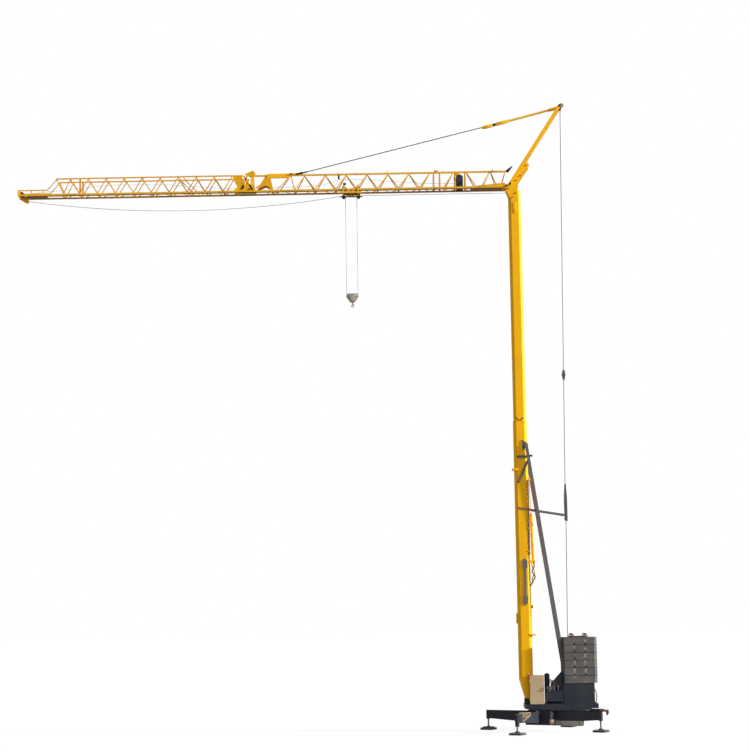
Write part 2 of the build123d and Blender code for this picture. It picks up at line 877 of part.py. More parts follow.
def guy_fittings():
    """The eye in the guy, the guide plate at the spreader and the anchor on the ballast box."""
    eye_x = guy_line_x(guy_eye_z)
    half = guy_eye_length / 2
    width = guy_eye_width / 2
    neck = width / 2
    eye = upright_plate(
        [
            (eye_x - neck, guy_eye_z - half), (eye_x + neck, guy_eye_z - half), (eye_x + width, guy_eye_z),
            (eye_x + neck, guy_eye_z + half), (eye_x - neck, guy_eye_z + half), (eye_x - width, guy_eye_z),
        ],
        (-guy_eye_half_thickness, guy_eye_half_thickness),
    )
    waist = guide_width / 4
    shoulder = spreader_tip_z + guide_shoulder
    rear = spreader_tip_x + guide_width
    guide = upright_plate(
        [
            (spreader_tip_x + guide_chamfer, guide_bottom), (rear, guide_bottom), (rear, shoulder),
            (guide_x + waist, guide_top), (guide_x - waist, guide_top), (spreader_tip_x, shoulder),
            (spreader_tip_x, guide_bottom + guide_chamfer),
        ],
        (-guide_half_thickness, guide_half_thickness),
    )
    anchor = span_box(
        (guy_anchor_x - guy_anchor_length / 2, guy_anchor_x + guy_anchor_length / 2),
        (-guy_anchor_half_width, guy_anchor_half_width), (stack_bottom, stack_bottom + guy_anchor_height),
    )
    return [eye, guide, anchor]


# Tower head, tie strut and tie
def head_plates():
    outline = [(tower_x + x, upper_top + z) for x, z in head_outline]
    plates = []
    for y in both_sides(head_side, head_outer):
        bore = cross_cylinder(*jib_pin, jib_pin_radius + pin_gap, y)
        plates.append(upright_plate(outline, y) - bore)
    return plates


def tie_strut():
    outer = head_outer + tie_strut_thickness
    half = tip_bar / 2
    tip_x, tip_z = tie_strut_tip
    strut = span_box((tip_x - half, tip_x + half), (-outer, outer), (tip_z - half, tip_z + half))
    for y in both_sides(head_outer, outer):
        strut += box_bar(tie_strut_foot, tie_strut_tip, tie_strut_depth, tie_strut_wall, tie_strut_overrun, y)
    for share in tie_strut_cross_places:
        x = tie_strut_foot[0] + share * (tip_x - tie_strut_foot[0])
        z = tie_strut_foot[1] + share * (tip_z - tie_strut_foot[1])
        reach = tie_strut_cross / 2
        strut += span_box((x - reach, x + reach), (-outer, outer), (z - reach, z + reach))
    return strut


def strut_cap():
    """The bracket on the tie strut's tip that holds the top of the guy."""
    outline = [(tie_strut_tip[0] + x, tie_strut_tip[1] + z) for x, z in strut_cap_outline]
    return upright_plate(outline, (-strut_cap_half_width, strut_cap_half_width))


def tie_bars():
    start = (tie_strut_tip[0] - tip_bar / 2, tie_strut_tip[1])
    end = (tie_joint_x, tie_joint_z)
    outer = tie_bar_inset + tie_bar_thickness
    half = tie_joint_depth / 2
    bars = span_box(
        (tie_joint_x - tie_joint_length, tie_joint_x), (-outer, outer),
        (tie_joint_z - half, tie_joint_z + half),
    )
    for y in both_sides(tie_bar_inset, outer):
        bars += upright_plate(slanted_outline(end, start, tie_bar_depth), y)
    return bars


def tie_rope():
    """The two stays between the tie bars and the jib, cut upright at both ends."""
    extra = 2 * tie_rope_radius
    ropes = []
    for y in (-tie_rope_offset, tie_rope_offset):
        start = Vector(tie_joint_x - tie_joint_length, y, tie_joint_z)
        end = Vector(tie_lug_x, y, chord_top + tie_rope_end_height)
        along = (end - start).normalized()
        plane = Plane(origin=start - along * extra, z_dir=along)
        rope = extrude(plane * Circle(tie_rope_radius), amount=(end - start).length + 2 * extra)
        height = (end.Z - extra, start.Z + extra)
        ropes.append(rope & span_box((end.X, start.X), (y - extra, y + extra), height))
    return ropes


def tie_anchor():
    half = tie_anchor_half_width
    anchor = square_tube((tie_anchor_end, tie_anchor_start), (-half, half), tie_anchor_z, tie_anchor_wall)
    lug_y = (-tie_lug_half_width, tie_lug_half_width)
    return anchor + span_box((tie_anchor_start, tie_lug_x), lug_y, (chord_top, chord_top + tie_lug_height))


# Inner jib
def root_wedge(y):
    """The plate that deepens the end of a bottom chord, at the jib foot."""
    outline = [(jib_x(root_deep_place), rail_z), (inner_start, rail_z), (inner_start, rail_z + root_depth)]
    middle = (y[0] + y[1]) / 2
    return upright_plate(outline, (middle - root_plate / 2, middle + root_plate / 2))


def inner_bottom_chords():
    x = (fold_x + fold_gap / 2, inner_start)
    pin_x = jib_pin[0]
    nose = inner_start + root_lug_reach
    lug_outline = [
        (inner_start, keel_z), (pin_x + chord / 2, keel_z), (nose, jib_pin[1] - chord / 2),
        (nose, jib_pin[1] + chord / 2), (pin_x, jib_pin[1] + chord), (inner_start, rail_z + root_depth),
    ]
    chords = []
    for y in both_sides(chord_in, chord_out):
        middle = (y[0] + y[1]) / 2
        lug_y = (middle - root_lug_plate / 2, middle + root_lug_plate / 2)
        tube = square_tube(x, y, (keel_z, rail_z), chord_wall)
        lug = upright_plate(lug_outline, lug_y) - cross_cylinder(*jib_pin, jib_pin_radius + pin_gap, lug_y)
        chords.append(tube + root_wedge(y) + lug)
    return chords


def jib_foot_shaft():
    reach = chord_y + root_lug_plate / 2 + jib_pin_overhang
    return cross_cylinder(*jib_pin, jib_pin_radius, (-reach, reach))


def inner_top_chord():
    y = (-chord / 2, chord / 2)
    z = (top_underside, chord_top)
    main = square_tube((tie_anchor_start, jib_x(top_chord_place)), y, z, chord_wall)
    stub = square_tube((jib_x(stub_place), tie_anchor_end), y, z, chord_wall)
    return [main, stub]


def inner_sides():
    """The two sloping lattice sides, from the bottom chords up to the top chord."""
    stretch = math.hypot(lacing_y, inner_depth) / inner_depth
    low = (rail_z - jib_bottom_z) * stretch
    high = (top_underside - jib_bottom_z) * stretch
    bars = zigzag(jib_x(regular_lacing_place), jib_x(regular_lacing_end), inner_panels, high, low)
    bars += [((jib_x(top), high), (jib_x(bottom), low)) for top, bottom in single_bar_places]
    posts = [((jib_x(place), low), (jib_x(place), high)) for place in inner_posts]
    sketch = lattice_sketch(bars, lacing, lacing) + lattice_sketch(posts, post_width, lacing)
    corners = [(jib_x(place), z * stretch) for place, z in rocker_outline]
    rocker = make_face(Polyline(*corners, close=True))
    half = tie_anchor_half_width
    anchor = span_box((tie_anchor_end, tie_anchor_start), (-half, half), tie_anchor_z)
    between = span_box((fold_x, jib_pin[0]), (-chord_out, chord_out), (rail_z, top_underside))
    sides = []
    for side in (-1, 1):
        normal = Vector(0, -inner_depth, -side * lacing_y).normalized()
        plane = Plane(origin=(0, side * lacing_y, jib_bottom_z), x_dir=(1, 0, 0), z_dir=normal)
        lattice = extrude(plane * sketch, amount=lacing / 2, both=True)
        lattice += extrude(plane * rocker, amount=rocker_plate / 2, both=True)
        sides += ((lattice & between) - anchor).solids()
    return sides


def plan_bracing(start, end, panels, half_width, middle):
    """A flat zigzag between two chords, seen from above."""
    sketch = lattice_sketch(zigzag(start, end, panels, -half_width, half_width), brace, brace)
    bracing = Pos(0, 0, middle) * extrude(sketch, amount=brace / 2, both=True)
    x = (end - brace, start + brace)
    return bracing & span_box(x, (-half_width, half_width), (middle - brace, middle + brace))


def inner_floor():
    return plan_bracing(jib_x(floor_place), jib_x(floor_end_place), floor_panels, chord_in, jib_bottom_z)


# Fold between the inner and the outer jib
def fold_plates():
    """The two plates beside the fold, joined by a floor plate."""
    outline = [(fold_x + x, jib_bottom_z + z) for x, z in fold_outline]
    inside = chord_in - fold_plate
    floor_x = (fold_x + fold_floor[0], fold_x + fold_floor[1])
    plates = span_box(floor_x, (-inside, inside), (keel_z, keel_z + fold_plate))
    for y in both_sides(inside, chord_in):
        plates += upright_plate(outline, y)
    return plates


def fold_frame():
    """The A-shaped frame that carries the end of the top chord."""
    half = chord_in - fold_plate
    leg = fold_frame_leg
    peak = chord / 2
    outside = Polyline((-half, rail_z), (half, rail_z), (half, rail_z + leg), (peak, top_underside),
                       (-peak, top_underside), (-half, rail_z + leg), close=True)
    sill = rail_z + leg
    inside = Polyline((-half + leg, sill), (half - leg, sill), (0, top_underside - leg), close=True)
    face = make_face(outside) - make_face(inside)
    return Pos(jib_x(fold_frame_place), 0, 0) * extrude(Plane.YZ * face, amount=fold_frame_length)


def fold_bracket():
    """The two slanted plates on the end of the top chord."""
    outline = [(fold_x + x, jib_top_z + z) for x, z in fold_bracket_outline]
    return [upright_plate(outline, y) for y in both_sides(chord / 2, chord / 2 + fold_bracket_plate)]


# Outer jib and nose
def outer_chords():
    chords = []
    for y in both_sides(chord_in, chord_out):
        chords.append(square_tube((nose_end, fold_x - fold_gap / 2), y, (keel_z, rail_z), chord_wall))
    half = outer_chord / 2
    for y in both_sides(lacing_y - half, lacing_y + half):
        z = (outer_underside, outer_top_z + half)
        chords.append(square_tube((outer_end - half, outer_start), y, z, outer_chord_wall))
    return chords


def outer_sides():
    regular_end = jib_x(outer_regular_end)
    bars = zigzag(outer_start, regular_end, outer_panels, outer_underside, rail_z)
    bars += zigzag(regular_end, outer_end, 1, outer_underside, rail_z)
    bars.append(((outer_end, outer_underside), (nose_start, nose_rail_top - nose_rail / 2)))
    post = [((jib_x(outer_post), rail_z), (jib_x(outer_post), outer_underside))]
    sketch = lattice_sketch(bars, lacing, lacing) + lattice_sketch(post, post_width, lacing)
    sides = []
    for y in both_sides(lacing_y - lacing / 2, lacing_y + lacing / 2):
        lattice = Pos(0, y[1], 0) * extrude(Plane.XZ * sketch, amount=lacing)
        sides.append(lattice & span_box((nose_start, outer_start), y, (rail_z, outer_underside)))
    return sides


def outer_floor():
    return plan_bracing(outer_start - brace, outer_end, outer_floor_panels, chord_in, jib_bottom_z)


def jib_nose():
    """The low frame at the jib tip, with the plate that holds the end of the hoist rope."""
    half = nose_rail / 2
    rail = (nose_rail_top - nose_rail, nose_rail_top)
    beam_x = (nose_end - nose_beam, nose_end)
    wall = nose_beam_wall
    nose = span_box(beam_x, (-chord_out, chord_out), (keel_z, nose_rail_top))
    nose -= span_box(
        (beam_x[0] + wall, beam_x[1] - wall), (-chord_out + wall, chord_out - wall),
        (keel_z, nose_rail_top - wall),
    )
    dead_end = [(nose_end + x, keel_z + z) for x, z in dead_end_outline]
    nose += upright_plate(dead_end, (-dead_end_half_width, dead_end_half_width))
    for y in both_sides(lacing_y - half, lacing_y + half):
        nose += span_box((nose_end, nose_start), y, rail)
        for place in nose_post_places:
            nose += span_box((jib_x(place) - half, jib_x(place) + half), y, (rail_z, nose_rail_top))
    return nose


def jib_winch():
    """The winch that pulls the trolley, standing between the bottom chords."""
    front, rear = jib_winch_x - jib_winch_length / 2, jib_winch_x + jib_winch_length / 2
    base = jib_bottom_z + brace / 2
    axle = rail_z + jib_winch_axle_height
    top = rail_z + jib_winch_height
    cut = jib_winch_chamfer
    outline = [
        (front, rail_z), (rear, rail_z), (rear, top - cut),
        (rear - cut, top), (front + cut, top), (front, top - cut),
    ]
    half = jib_winch_half_width
    winch = span_box((front, rear), (-chord_in, chord_in), (base, rail_z))
    winch += cross_cylinder(jib_winch_x, axle, jib_winch_drum_radius, (-half, half))
    for y in both_sides(half - jib_winch_plate, half):
        winch += upright_plate(outline, y)
    winch -= cross_cylinder(jib_winch_x, axle, jib_winch_drum_radius - jib_winch_drum_wall, (-half, half))
    motor = (-half - jib_winch_motor_reach, -half + jib_winch_plate)
    return winch + cross_cylinder(jib_winch_x, axle, jib_winch_drum_radius, motor)


# Trolley, ropes, hook block and hook
def trolley_frame():
    inner = chord_out + trolley_side_gap
    outer = inner + trolley_plate
    sill = (trolley_sill_bottom, trolley_sill_bottom + trolley_sill_depth)
    top = trolley_sill_bottom + trolley_height
    post = trolley_post_width / 2
    frame = Part()
    for y in both_sides(inner, outer):
        frame += span_box((trolley_x - trolley_half_length, trolley_x + trolley_half_length), y, sill)
        for offset in (-trolley_post_offset, trolley_post_offset):
            middle = trolley_x + offset
            frame += span_box((middle - post, middle + post), y, (sill[0], top))
            foot, head = (trolley_x, sill[0] + post), (middle, top - post)
            frame += upright_plate(bar_outline(foot, head, trolley_post_width), y)
    cross = (sill[1] - trolley_cross_depth, sill[1])
    for offset in (-trolley_sheave_x, trolley_sheave_x):
        middle = trolley_x + offset
        frame += span_box((middle - post, middle + post), (-inner, inner), cross)
        hanger_x = (middle - hanger_half_length, middle + hanger_half_length)
        for y in both_sides(hanger_half_gap, hanger_half_gap + hanger_plate):
            frame += span_box(hanger_x, y, (trolley_sheave_z - hanger_overlap, cross[0]))
    return frame


def trolley_wheels():
    inner = chord_out + trolley_side_gap
    axle = rail_z + running_gap + wheel_radius
    wheels = []
    for offset in (-trolley_post_offset, trolley_post_offset):
        for side in (-1, 1):
            rim = (side * (chord_out - wheel_width), side * chord_out)
            stub = (side * chord_out, side * inner)
            wheel = cross_cylinder(trolley_x + offset, axle, wheel_radius, rim)
            wheels.append(wheel + cross_cylinder(trolley_x + offset, axle, wheel_axle_radius, stub))
    return wheels


def sheave(x, z, radius, half_width, axle_radius, axle_half_length):
    wheel = cross_cylinder(x, z, radius, (-half_width, half_width))
    return wheel + cross_cylinder(x, z, axle_radius, (-axle_half_length, axle_half_length))


def trolley_sheaves():
    return [
        sheave(trolley_x + offset, trolley_sheave_z, trolley_sheave_radius, trolley_sheave_half_width,
               wheel_axle_radius, hanger_half_gap)
        for offset in (-trolley_sheave_x, trolley_sheave_x)
    ]


def hoist_falls():
    return [
        upright_cylinder(trolley_x + offset, 0, rope_radius, (block_sheave_z, trolley_sheave_z))
        for offset in (-fall_offset, fall_offset)
    ]


def hoist_rope_run():
    """The hoist rope from the tower head to the trolley."""
    end = trolley_x + trolley_sheave_x
    start = tower_x - head_side
    rope = Rot(0, 90, 0) * Cylinder(rope_radius, start - end)
    return Pos((start + end) / 2, 0, hoist_run_z) * rope


def slack_rope():
    """The hoist rope from the trolley to the jib tip, with its slight sag."""
    sheave_x = trolley_x - trolley_sheave_x
    rope_end = nose_end + dead_end_reach
    lift = 2 * math.atan(2 * slack_rope_sag / (sheave_x - rope_end))
    start_x = sheave_x - trolley_sheave_pitch * math.sin(lift)
    start_z = trolley_sheave_z + trolley_sheave_pitch * math.cos(lift)
    end_x = rope_end - rope_radius
    middle_z = (start_z + hoist_run_z) / 2 - slack_rope_sag
    path = ThreePointArc((start_x, 0, start_z), ((start_x + end_x) / 2, 0, middle_z), (end_x, 0, hoist_run_z))
    rope = sweep(Plane(origin=path @ 0, z_dir=path % 0) * Circle(rope_radius), path=path)
    depth = (middle_z - 2 * rope_radius, hoist_run_z + 2 * rope_radius)
    return rope & span_box((rope_end, sheave_x), (-2 * rope_radius, 2 * rope_radius), depth)


def hook_block():
    outline = [(trolley_x + x, block_top + z) for x, z in block_outline]
    cross_x = (trolley_x - crosshead_half_length, trolley_x + crosshead_half_length)
    block = span_box(cross_x, (-cheek_inner, cheek_inner), (block_bottom, block_bottom + crosshead_height))
    for y in both_sides(cheek_inner, cheek_inner + cheek_plate):
        block += upright_plate(outline, y)
    bore = (block_bottom - 1, block_bottom + crosshead_height + 1)
    return block - upright_cylinder(trolley_x, 0, hook_shank_radius + pin_gap, bore)


def block_sheaves():
    return [
        sheave(trolley_x + offset, block_sheave_z, block_sheave_radius, block_sheave_half_width,
               block_axle_radius, cheek_inner)
        for offset in (-block_sheave_x, block_sheave_x)
    ]


def hook():
    """The load hook: a nut and shank in the block's crosshead, and the open ring below."""
    seat = block_bottom + crosshead_height + running_gap
    half = hook_thickness / 2
    ring = cross_cylinder(trolley_x, hook_centre_z, hook_outer_radius, (-half, half))
    ring -= cross_cylinder(trolley_x, hook_centre_z, hook_inner_radius, (-half, half))
    mouth_z = (hook_centre_z, hook_centre_z + hook_mouth)
    ring -= span_box((trolley_x - hook_outer_radius, trolley_x - hook_shank_radius), (-half, half), mouth_z)
    shank_bottom = hook_centre_z + hook_inner_radius
    body = ring + upright_cylinder(trolley_x, 0, hook_shank_radius, (shank_bottom, seat))
    return body + upright_cylinder(trolley_x, 0, hook_nut_radius, (seat, seat + hook_nut_height))


def write(name, pieces):
    """Write one named part, made of one solid or of several that stand apart."""
    shape = Compound(pieces) if isinstance(pieces, list) else pieces
    export_step(shape, os.path.join("parts", name + ".step"))


os.makedirs("parts", exist_ok=True)
write("base_frame", base_frame())
write("outrigger_arms", [outrigger_arm(number, turn) for number, turn in enumerate(foot_turns(), start=1)])
write("slew_ring_lower", slew_ring(frame_top))
for number, turn in enumerate(foot_turns(), start=1):
    write(f"jack_screw_{number}", jack_screw(turn))
    write(f"foot_pad_{number}", foot_pad(number, turn))
write("slew_ring_upper", slew_ring(ring_seat + running_gap))
write("slewing_platform", slewing_platform())
write("ballast_box", ballast_box())
write("counterweight_odd_slabs", [counterweight_slab(n) for n in range(0, slab_count, 2)])
write("counterweight_even_slabs", [counterweight_slab(n) for n in range(1, slab_count, 2)])
write("winch_cover", winch_cover())
write("hoist_winch", hoist_winch())
write("oil_tank", oil_tank())
write("control_cabinet", control_cabinet())
write("cabinet_door", cabinet_door())
write("strut_gussets", strut_gussets())
write("tower_shoe", tower_shoe())
write("lower_tower", lower_tower())
write("tower_collar", tower_collar())
write("upper_tower", upper_tower())
write("erection_struts", erection_struts())
write("strut_links", strut_links())
write("erection_cylinder", erection_cylinder())
write("guy_spreader", guy_spreader())
write("guy_rope", guy_rope())
write("guy_fittings", guy_fittings())
write("head_plates", head_plates())
write("tie_strut", tie_strut())
write("strut_cap", strut_cap())
write("tie_bars", tie_bars())
write("tie_rope", tie_rope())
write("tie_anchor", tie_anchor())
write("jib_foot_shaft", jib_foot_shaft())
write("inner_bottom_chords", inner_bottom_chords())
write("inner_top_chord", inner_top_chord())
write("inner_sides", inner_sides())
write("inner_floor", inner_floor())
write("fold_plates", fold_plates())
write("fold_frame", fold_frame())
write("fold_bracket", fold_bracket())
write("outer_chords", outer_chords())
write("outer_sides", outer_sides())
write("outer_floor", outer_floor())
write("jib_nose", jib_nose())
write("jib_winch", jib_winch())
write("trolley_frame", trolley_frame())
write("trolley_wheels", trolley_wheels())
write("trolley_sheaves", trolley_sheaves())
write("hoist_falls", hoist_falls())
write("hoist_rope_run", hoist_rope_run())
write("slack_rope", slack_rope())
write("hook_block", hook_block())
write("block_sheaves", block_sheaves())
write("hook", hook())
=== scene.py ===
import json
import math

import bpy
from mathutils import Euler, Matrix, Vector


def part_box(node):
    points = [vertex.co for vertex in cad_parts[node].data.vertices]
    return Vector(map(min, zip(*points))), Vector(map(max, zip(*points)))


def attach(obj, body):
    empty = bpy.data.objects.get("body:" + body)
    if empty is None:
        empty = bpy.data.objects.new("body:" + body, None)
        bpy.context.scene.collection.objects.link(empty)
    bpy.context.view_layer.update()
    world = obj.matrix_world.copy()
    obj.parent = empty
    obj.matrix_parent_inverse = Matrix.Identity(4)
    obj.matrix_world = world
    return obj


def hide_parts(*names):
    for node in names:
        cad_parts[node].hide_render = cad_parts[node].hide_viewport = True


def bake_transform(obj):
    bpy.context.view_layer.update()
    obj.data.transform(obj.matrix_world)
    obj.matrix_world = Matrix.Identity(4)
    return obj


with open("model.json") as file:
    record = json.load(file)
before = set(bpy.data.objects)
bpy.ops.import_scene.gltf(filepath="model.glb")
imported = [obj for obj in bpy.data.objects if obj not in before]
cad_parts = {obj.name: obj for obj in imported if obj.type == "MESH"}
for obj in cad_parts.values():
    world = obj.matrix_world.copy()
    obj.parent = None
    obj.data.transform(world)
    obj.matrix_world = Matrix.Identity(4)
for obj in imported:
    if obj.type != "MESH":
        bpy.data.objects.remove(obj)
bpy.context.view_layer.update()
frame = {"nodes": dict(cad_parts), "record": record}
scene = bpy.context.scene

# Places taken from the frame, in metres
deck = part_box("control_cabinet")[0][2]
odd_slabs, even_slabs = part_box("counterweight_odd_slabs"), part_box("counterweight_even_slabs")
stack_front, stack_rear = odd_slabs[0][0], odd_slabs[1][0]
stack_bottom, stack_top = odd_slabs[0][2], even_slabs[1][2]
stack_side = odd_slabs[1][1]
slab_count = 6
slab_height = (stack_top - stack_bottom) / slab_count
tower_front, tower_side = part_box("lower_tower")[0][0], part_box("lower_tower")[1][1]
tower_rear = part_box("lower_tower")[1][0]
upper_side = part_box("upper_tower")[1][1]
tower_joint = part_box("tower_collar")[1][2]
head_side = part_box("head_plates")[1][1]
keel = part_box("inner_bottom_chords")[0][2]
bottom_chord = 0.08
rail = keel + bottom_chord
chord_under, chord_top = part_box("inner_top_chord")[0][2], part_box("inner_top_chord")[1][2]
trolley_low, trolley_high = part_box("trolley_frame")
trolley_x = (trolley_low[0] + trolley_high[0]) / 2
run_low, run_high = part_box("hoist_rope_run")
falls_low, falls_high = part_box("hoist_falls")
slack_low, slack_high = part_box("slack_rope")
block_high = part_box("hook_block")[1]
cover_low, cover_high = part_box("winch_cover")
cabinet_low, cabinet_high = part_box("control_cabinet")
door_low, door_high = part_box("cabinet_door")
tie_low, tie_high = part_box("tie_bars")
tip_x, tip_z = tie_high[0] + 0.05, tie_high[2] - 0.045
joint_x, joint_z = tie_low[0] + 0.12, tie_low[2] + 0.06
tie_end = (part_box("tie_rope")[0][0], chord_top + 0.03)
tie_slope = (joint_z - tie_end[1]) / (tie_low[0] - tie_end[0])
bar_slope = (tip_z - joint_z) / (tie_high[0] - joint_x)
foot_radius, foot_turn = 2.93, -28.75
fold_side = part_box("fold_plates")[1][1]

# The body that slews, with tower and jib
crane = "superstructure"

# Shaping
sharp_angle, smooth_angle = math.radians(35), math.radians(30)


def let_go():
    """Deselect everything, so that the next operator acts on the new piece alone."""
    bpy.ops.object.select_all(action="DESELECT")


def hold(piece):
    let_go()
    piece.select_set(True)
    bpy.context.view_layer.objects.active = piece
    return piece


def settle(piece):
    """Put the piece's place into its mesh."""
    hold(piece)
    bpy.ops.object.transform_apply(location=True, rotation=True, scale=True)
    return piece


def soften(piece, width, segments=2):
    """Round off the sharp edges."""
    hold(piece)
    edge = piece.modifiers.new("soft_edges", "BEVEL")
    edge.width = width
    edge.segments = segments
    edge.limit_method = "ANGLE"
    edge.angle_limit = sharp_angle
    bpy.ops.object.modifier_apply(modifier=edge.name)
    bpy.ops.object.shade_smooth_by_angle(angle=smooth_angle)
    return piece


def block(name, x, y, z, edge=0.006):
    """A box with rounded edges."""
    let_go()
    middle = [(low + high) / 2 for low, high in (x, y, z)]
    bpy.ops.mesh.primitive_cube_add(size=1, location=middle)
    piece = bpy.context.object
    piece.name = name
    piece.scale = [high - low for low, high in (x, y, z)]
    return soften(settle(piece), edge)


def plate(name, outline, y, edge=0.004):
    """A flat plate cut to an outline of (x, z) points, across the Y range."""
    let_go()
    bpy.ops.mesh.primitive_circle_add(vertices=len(outline), radius=1, fill_type="NGON")
    piece = bpy.context.object
    piece.name = name
    for vertex, (across, up) in zip(piece.data.vertices, outline):
        vertex.co = (across, y[0], up)
    bpy.ops.object.mode_set(mode="EDIT")
    bpy.ops.mesh.select_all(action="SELECT")
    bpy.ops.mesh.extrude_region_move(TRANSFORM_OT_translate={"value": (0, y[1] - y[0], 0)})
    bpy.ops.mesh.select_all(action="SELECT")
    bpy.ops.mesh.normals_make_consistent(inside=False)
    bpy.ops.object.mode_set(mode="OBJECT")
    return soften(piece, edge)


def aimed(direction):
    """The turn that points +Z along a direction."""
    return Vector(direction).to_track_quat("Z", "Y").to_matrix().to_4x4()


def rod(name, start, end, radius, sides=16, edge=0.003):
    """A round bar between two points, with its end rims rounded."""
    let_go()
    start, end = Vector(start), Vector(end)
    along = end - start
    bpy.ops.mesh.primitive_cylinder_add(vertices=sides, radius=radius, depth=along.length)
    piece = bpy.context.object
    piece.name = name
    piece.matrix_world = Matrix.Translation((start + end) / 2) @ aimed(along)
    return soften(settle(piece), edge)


def hose(name, points, radius, order=3):
    """A round line through or along the points."""
    let_go()
    line = bpy.data.curves.new(name, "CURVE")
    line.dimensions = "3D"
    line.bevel_depth = radius
    line.bevel_resolution = 2
    line.resolution_u = 8
    line.use_fill_caps = True
    spline = line.splines.new("NURBS" if order > 2 else "POLY")
    spline.points.add(len(points) - 1)
    for point, place in zip(spline.points, points):
        point.co = (*place, 1)
    if order > 2:
        spline.order_u = order
        spline.use_endpoint_u = True
    piece = bpy.data.objects.new(name, line)
    scene.collection.objects.link(piece)
    hold(piece)
    bpy.ops.object.convert(target="MESH")
    bpy.ops.object.shade_smooth()
    return bpy.context.object


def bolt(name, radius, height):
    """A hexagon head with a raised middle, standing along +Z at the origin."""
    let_go()
    bpy.ops.mesh.primitive_cylinder_add(
        vertices=6, radius=radius, depth=height, location=(0, 0, height / 2)
    )
    piece = bpy.context.object
    piece.name = name
    settle(piece)
    bpy.ops.object.mode_set(mode="EDIT")
    bpy.ops.mesh.select_all(action="DESELECT")
    bpy.ops.object.mode_set(mode="OBJECT")
    for face in piece.data.polygons:
        face.select = face.normal.z > 0.9
    bpy.ops.object.mode_set(mode="EDIT")
    bpy.ops.mesh.inset(thickness=radius * 0.25, depth=height * 0.2)
    bpy.ops.object.mode_set(mode="OBJECT")
    return piece


def spread(piece, places):
    """Copies of a piece at (point, direction) places, joined into one."""
    copies = []
    for point, direction in places:
        copy = piece.copy()
        copy.data = piece.data.copy()
        scene.collection.objects.link(copy)
        copy.matrix_world = Matrix.Translation(point) @ aimed(direction)
        copies.append(copy)
    name = piece.name
    bpy.data.objects.remove(piece)
    return joined(name, copies)


def joined(name, pieces):
    """Several pieces of one kind as one object."""
    let_go()
    for piece in pieces:
        piece.select_set(True)
    bpy.context.view_layer.objects.active = pieces[0]
    bpy.ops.object.join()
    whole = bpy.context.object
    whole.name = name
    return settle(whole)


# Finishes
def new_finish(name):
    finish = bpy.data.materials.new(name)
    finish.use_nodes = True
    tree = finish.node_tree
    places = tree.nodes.new("ShaderNodeTexCoord").outputs["Object"]
    return finish, tree, tree.nodes["Principled BSDF"], places


def grain(tree, places, scale, detail=4.0, stretch=(1, 1, 1)):
    """Noise over the piece, drawn out along an axis by a stretch."""
    mapping = tree.nodes.new("ShaderNodeMapping")
    mapping.inputs["Scale"].default_value = stretch
    tree.links.new(places, mapping.inputs["Vector"])
    noise = tree.nodes.new("ShaderNodeTexNoise")
    noise.inputs["Scale"].default_value = scale
    noise.inputs["Detail"].default_value = detail
    tree.links.new(mapping.outputs["Vector"], noise.inputs["Vector"])
    return noise.outputs["Fac"]


def ranged(tree, value, low, high, to_low=0.0, to_high=1.0):
    """A value taken from one range to another, and kept inside it."""
    step = tree.nodes.new("ShaderNodeMapRange")
    step.inputs["From Min"].default_value = low
    step.inputs["From Max"].default_value = high
    step.inputs["To Min"].default_value = to_low
    step.inputs["To Max"].default_value = to_high
    tree.links.new(value, step.inputs["Value"])
    return step.outputs["Result"]


def mixed(tree, share, first, second):
    """Two colours mixed by a share of the second."""
    mix = tree.nodes.new("ShaderNodeMix")
    mix.data_type = "RGBA"
    tree.links.new(share, mix.inputs["Factor"])
    for socket, colour in ((mix.inputs[6], first), (mix.inputs[7], second)):
        if isinstance(colour, tuple):
            socket.default_value = (*colour, 1)
        else:
            tree.links.new(colour, socket)
    return mix.outputs[2]


def raised(tree, shader, height, strength, distance):
    """Relief that is too fine to be modelled."""
    bump = tree.nodes.new("ShaderNodeBump")
    bump.inputs["Strength"].default_value = strength
    bump.inputs["Distance"].default_value = distance
    tree.links.new(height, bump.inputs["Height"])
    tree.links.new(bump.outputs["Normal"], shader.inputs["Normal"])


def weathered_paint(name, colour, faded, grime, dirt=0.35, rough=0.42):
    """Paint that has faded in patches, with dirt run down it."""
    finish, tree, shader, places = new_finish(name)
    patches = ranged(tree, grain(tree, places, 0.9), 0.35, 0.7)
    tone = mixed(tree, patches, colour, faded)
    runs = ranged(tree, grain(tree, places, 2.2, 6.0, (1.6, 1.6, 0.22)), 0.52, 0.78, 0.0, dirt)
    tone = mixed(tree, runs, tone, grime)
    tree.links.new(tone, shader.inputs["Base Color"])
    dull = ranged(tree, grain(tree, places, 5.0), 0.3, 0.7, rough - 0.08, rough + 0.14)
    tree.links.new(dull, shader.inputs["Roughness"])
    shader.inputs["Specular IOR Level"].default_value = 0.1
    raised(tree, shader, grain(tree, places, 45.0, 3.0), 0.06, 0.002)
    return finish


def greasy_below(name, level):
    """Yellow paint that is black with grease below a level."""
    finish = weathered_paint(name, *jib_tones, 0.5)
    tree, shader = finish.node_tree, finish.node_tree.nodes["Principled BSDF"]
    paint = shader.inputs["Base Color"].links[0].from_socket
    height = tree.nodes.new("ShaderNodeSeparateXYZ")
    tree.links.new(tree.nodes["Texture Coordinate"].outputs["Object"], height.inputs["Vector"])
    edge, grease = 0.02, (0.02, 0.019, 0.02)
    clean = ranged(tree, height.outputs["Z"], level - edge, level + edge)
    tree.links.new(mixed(tree, clean, grease, paint), shader.inputs["Base Color"])
    return finish


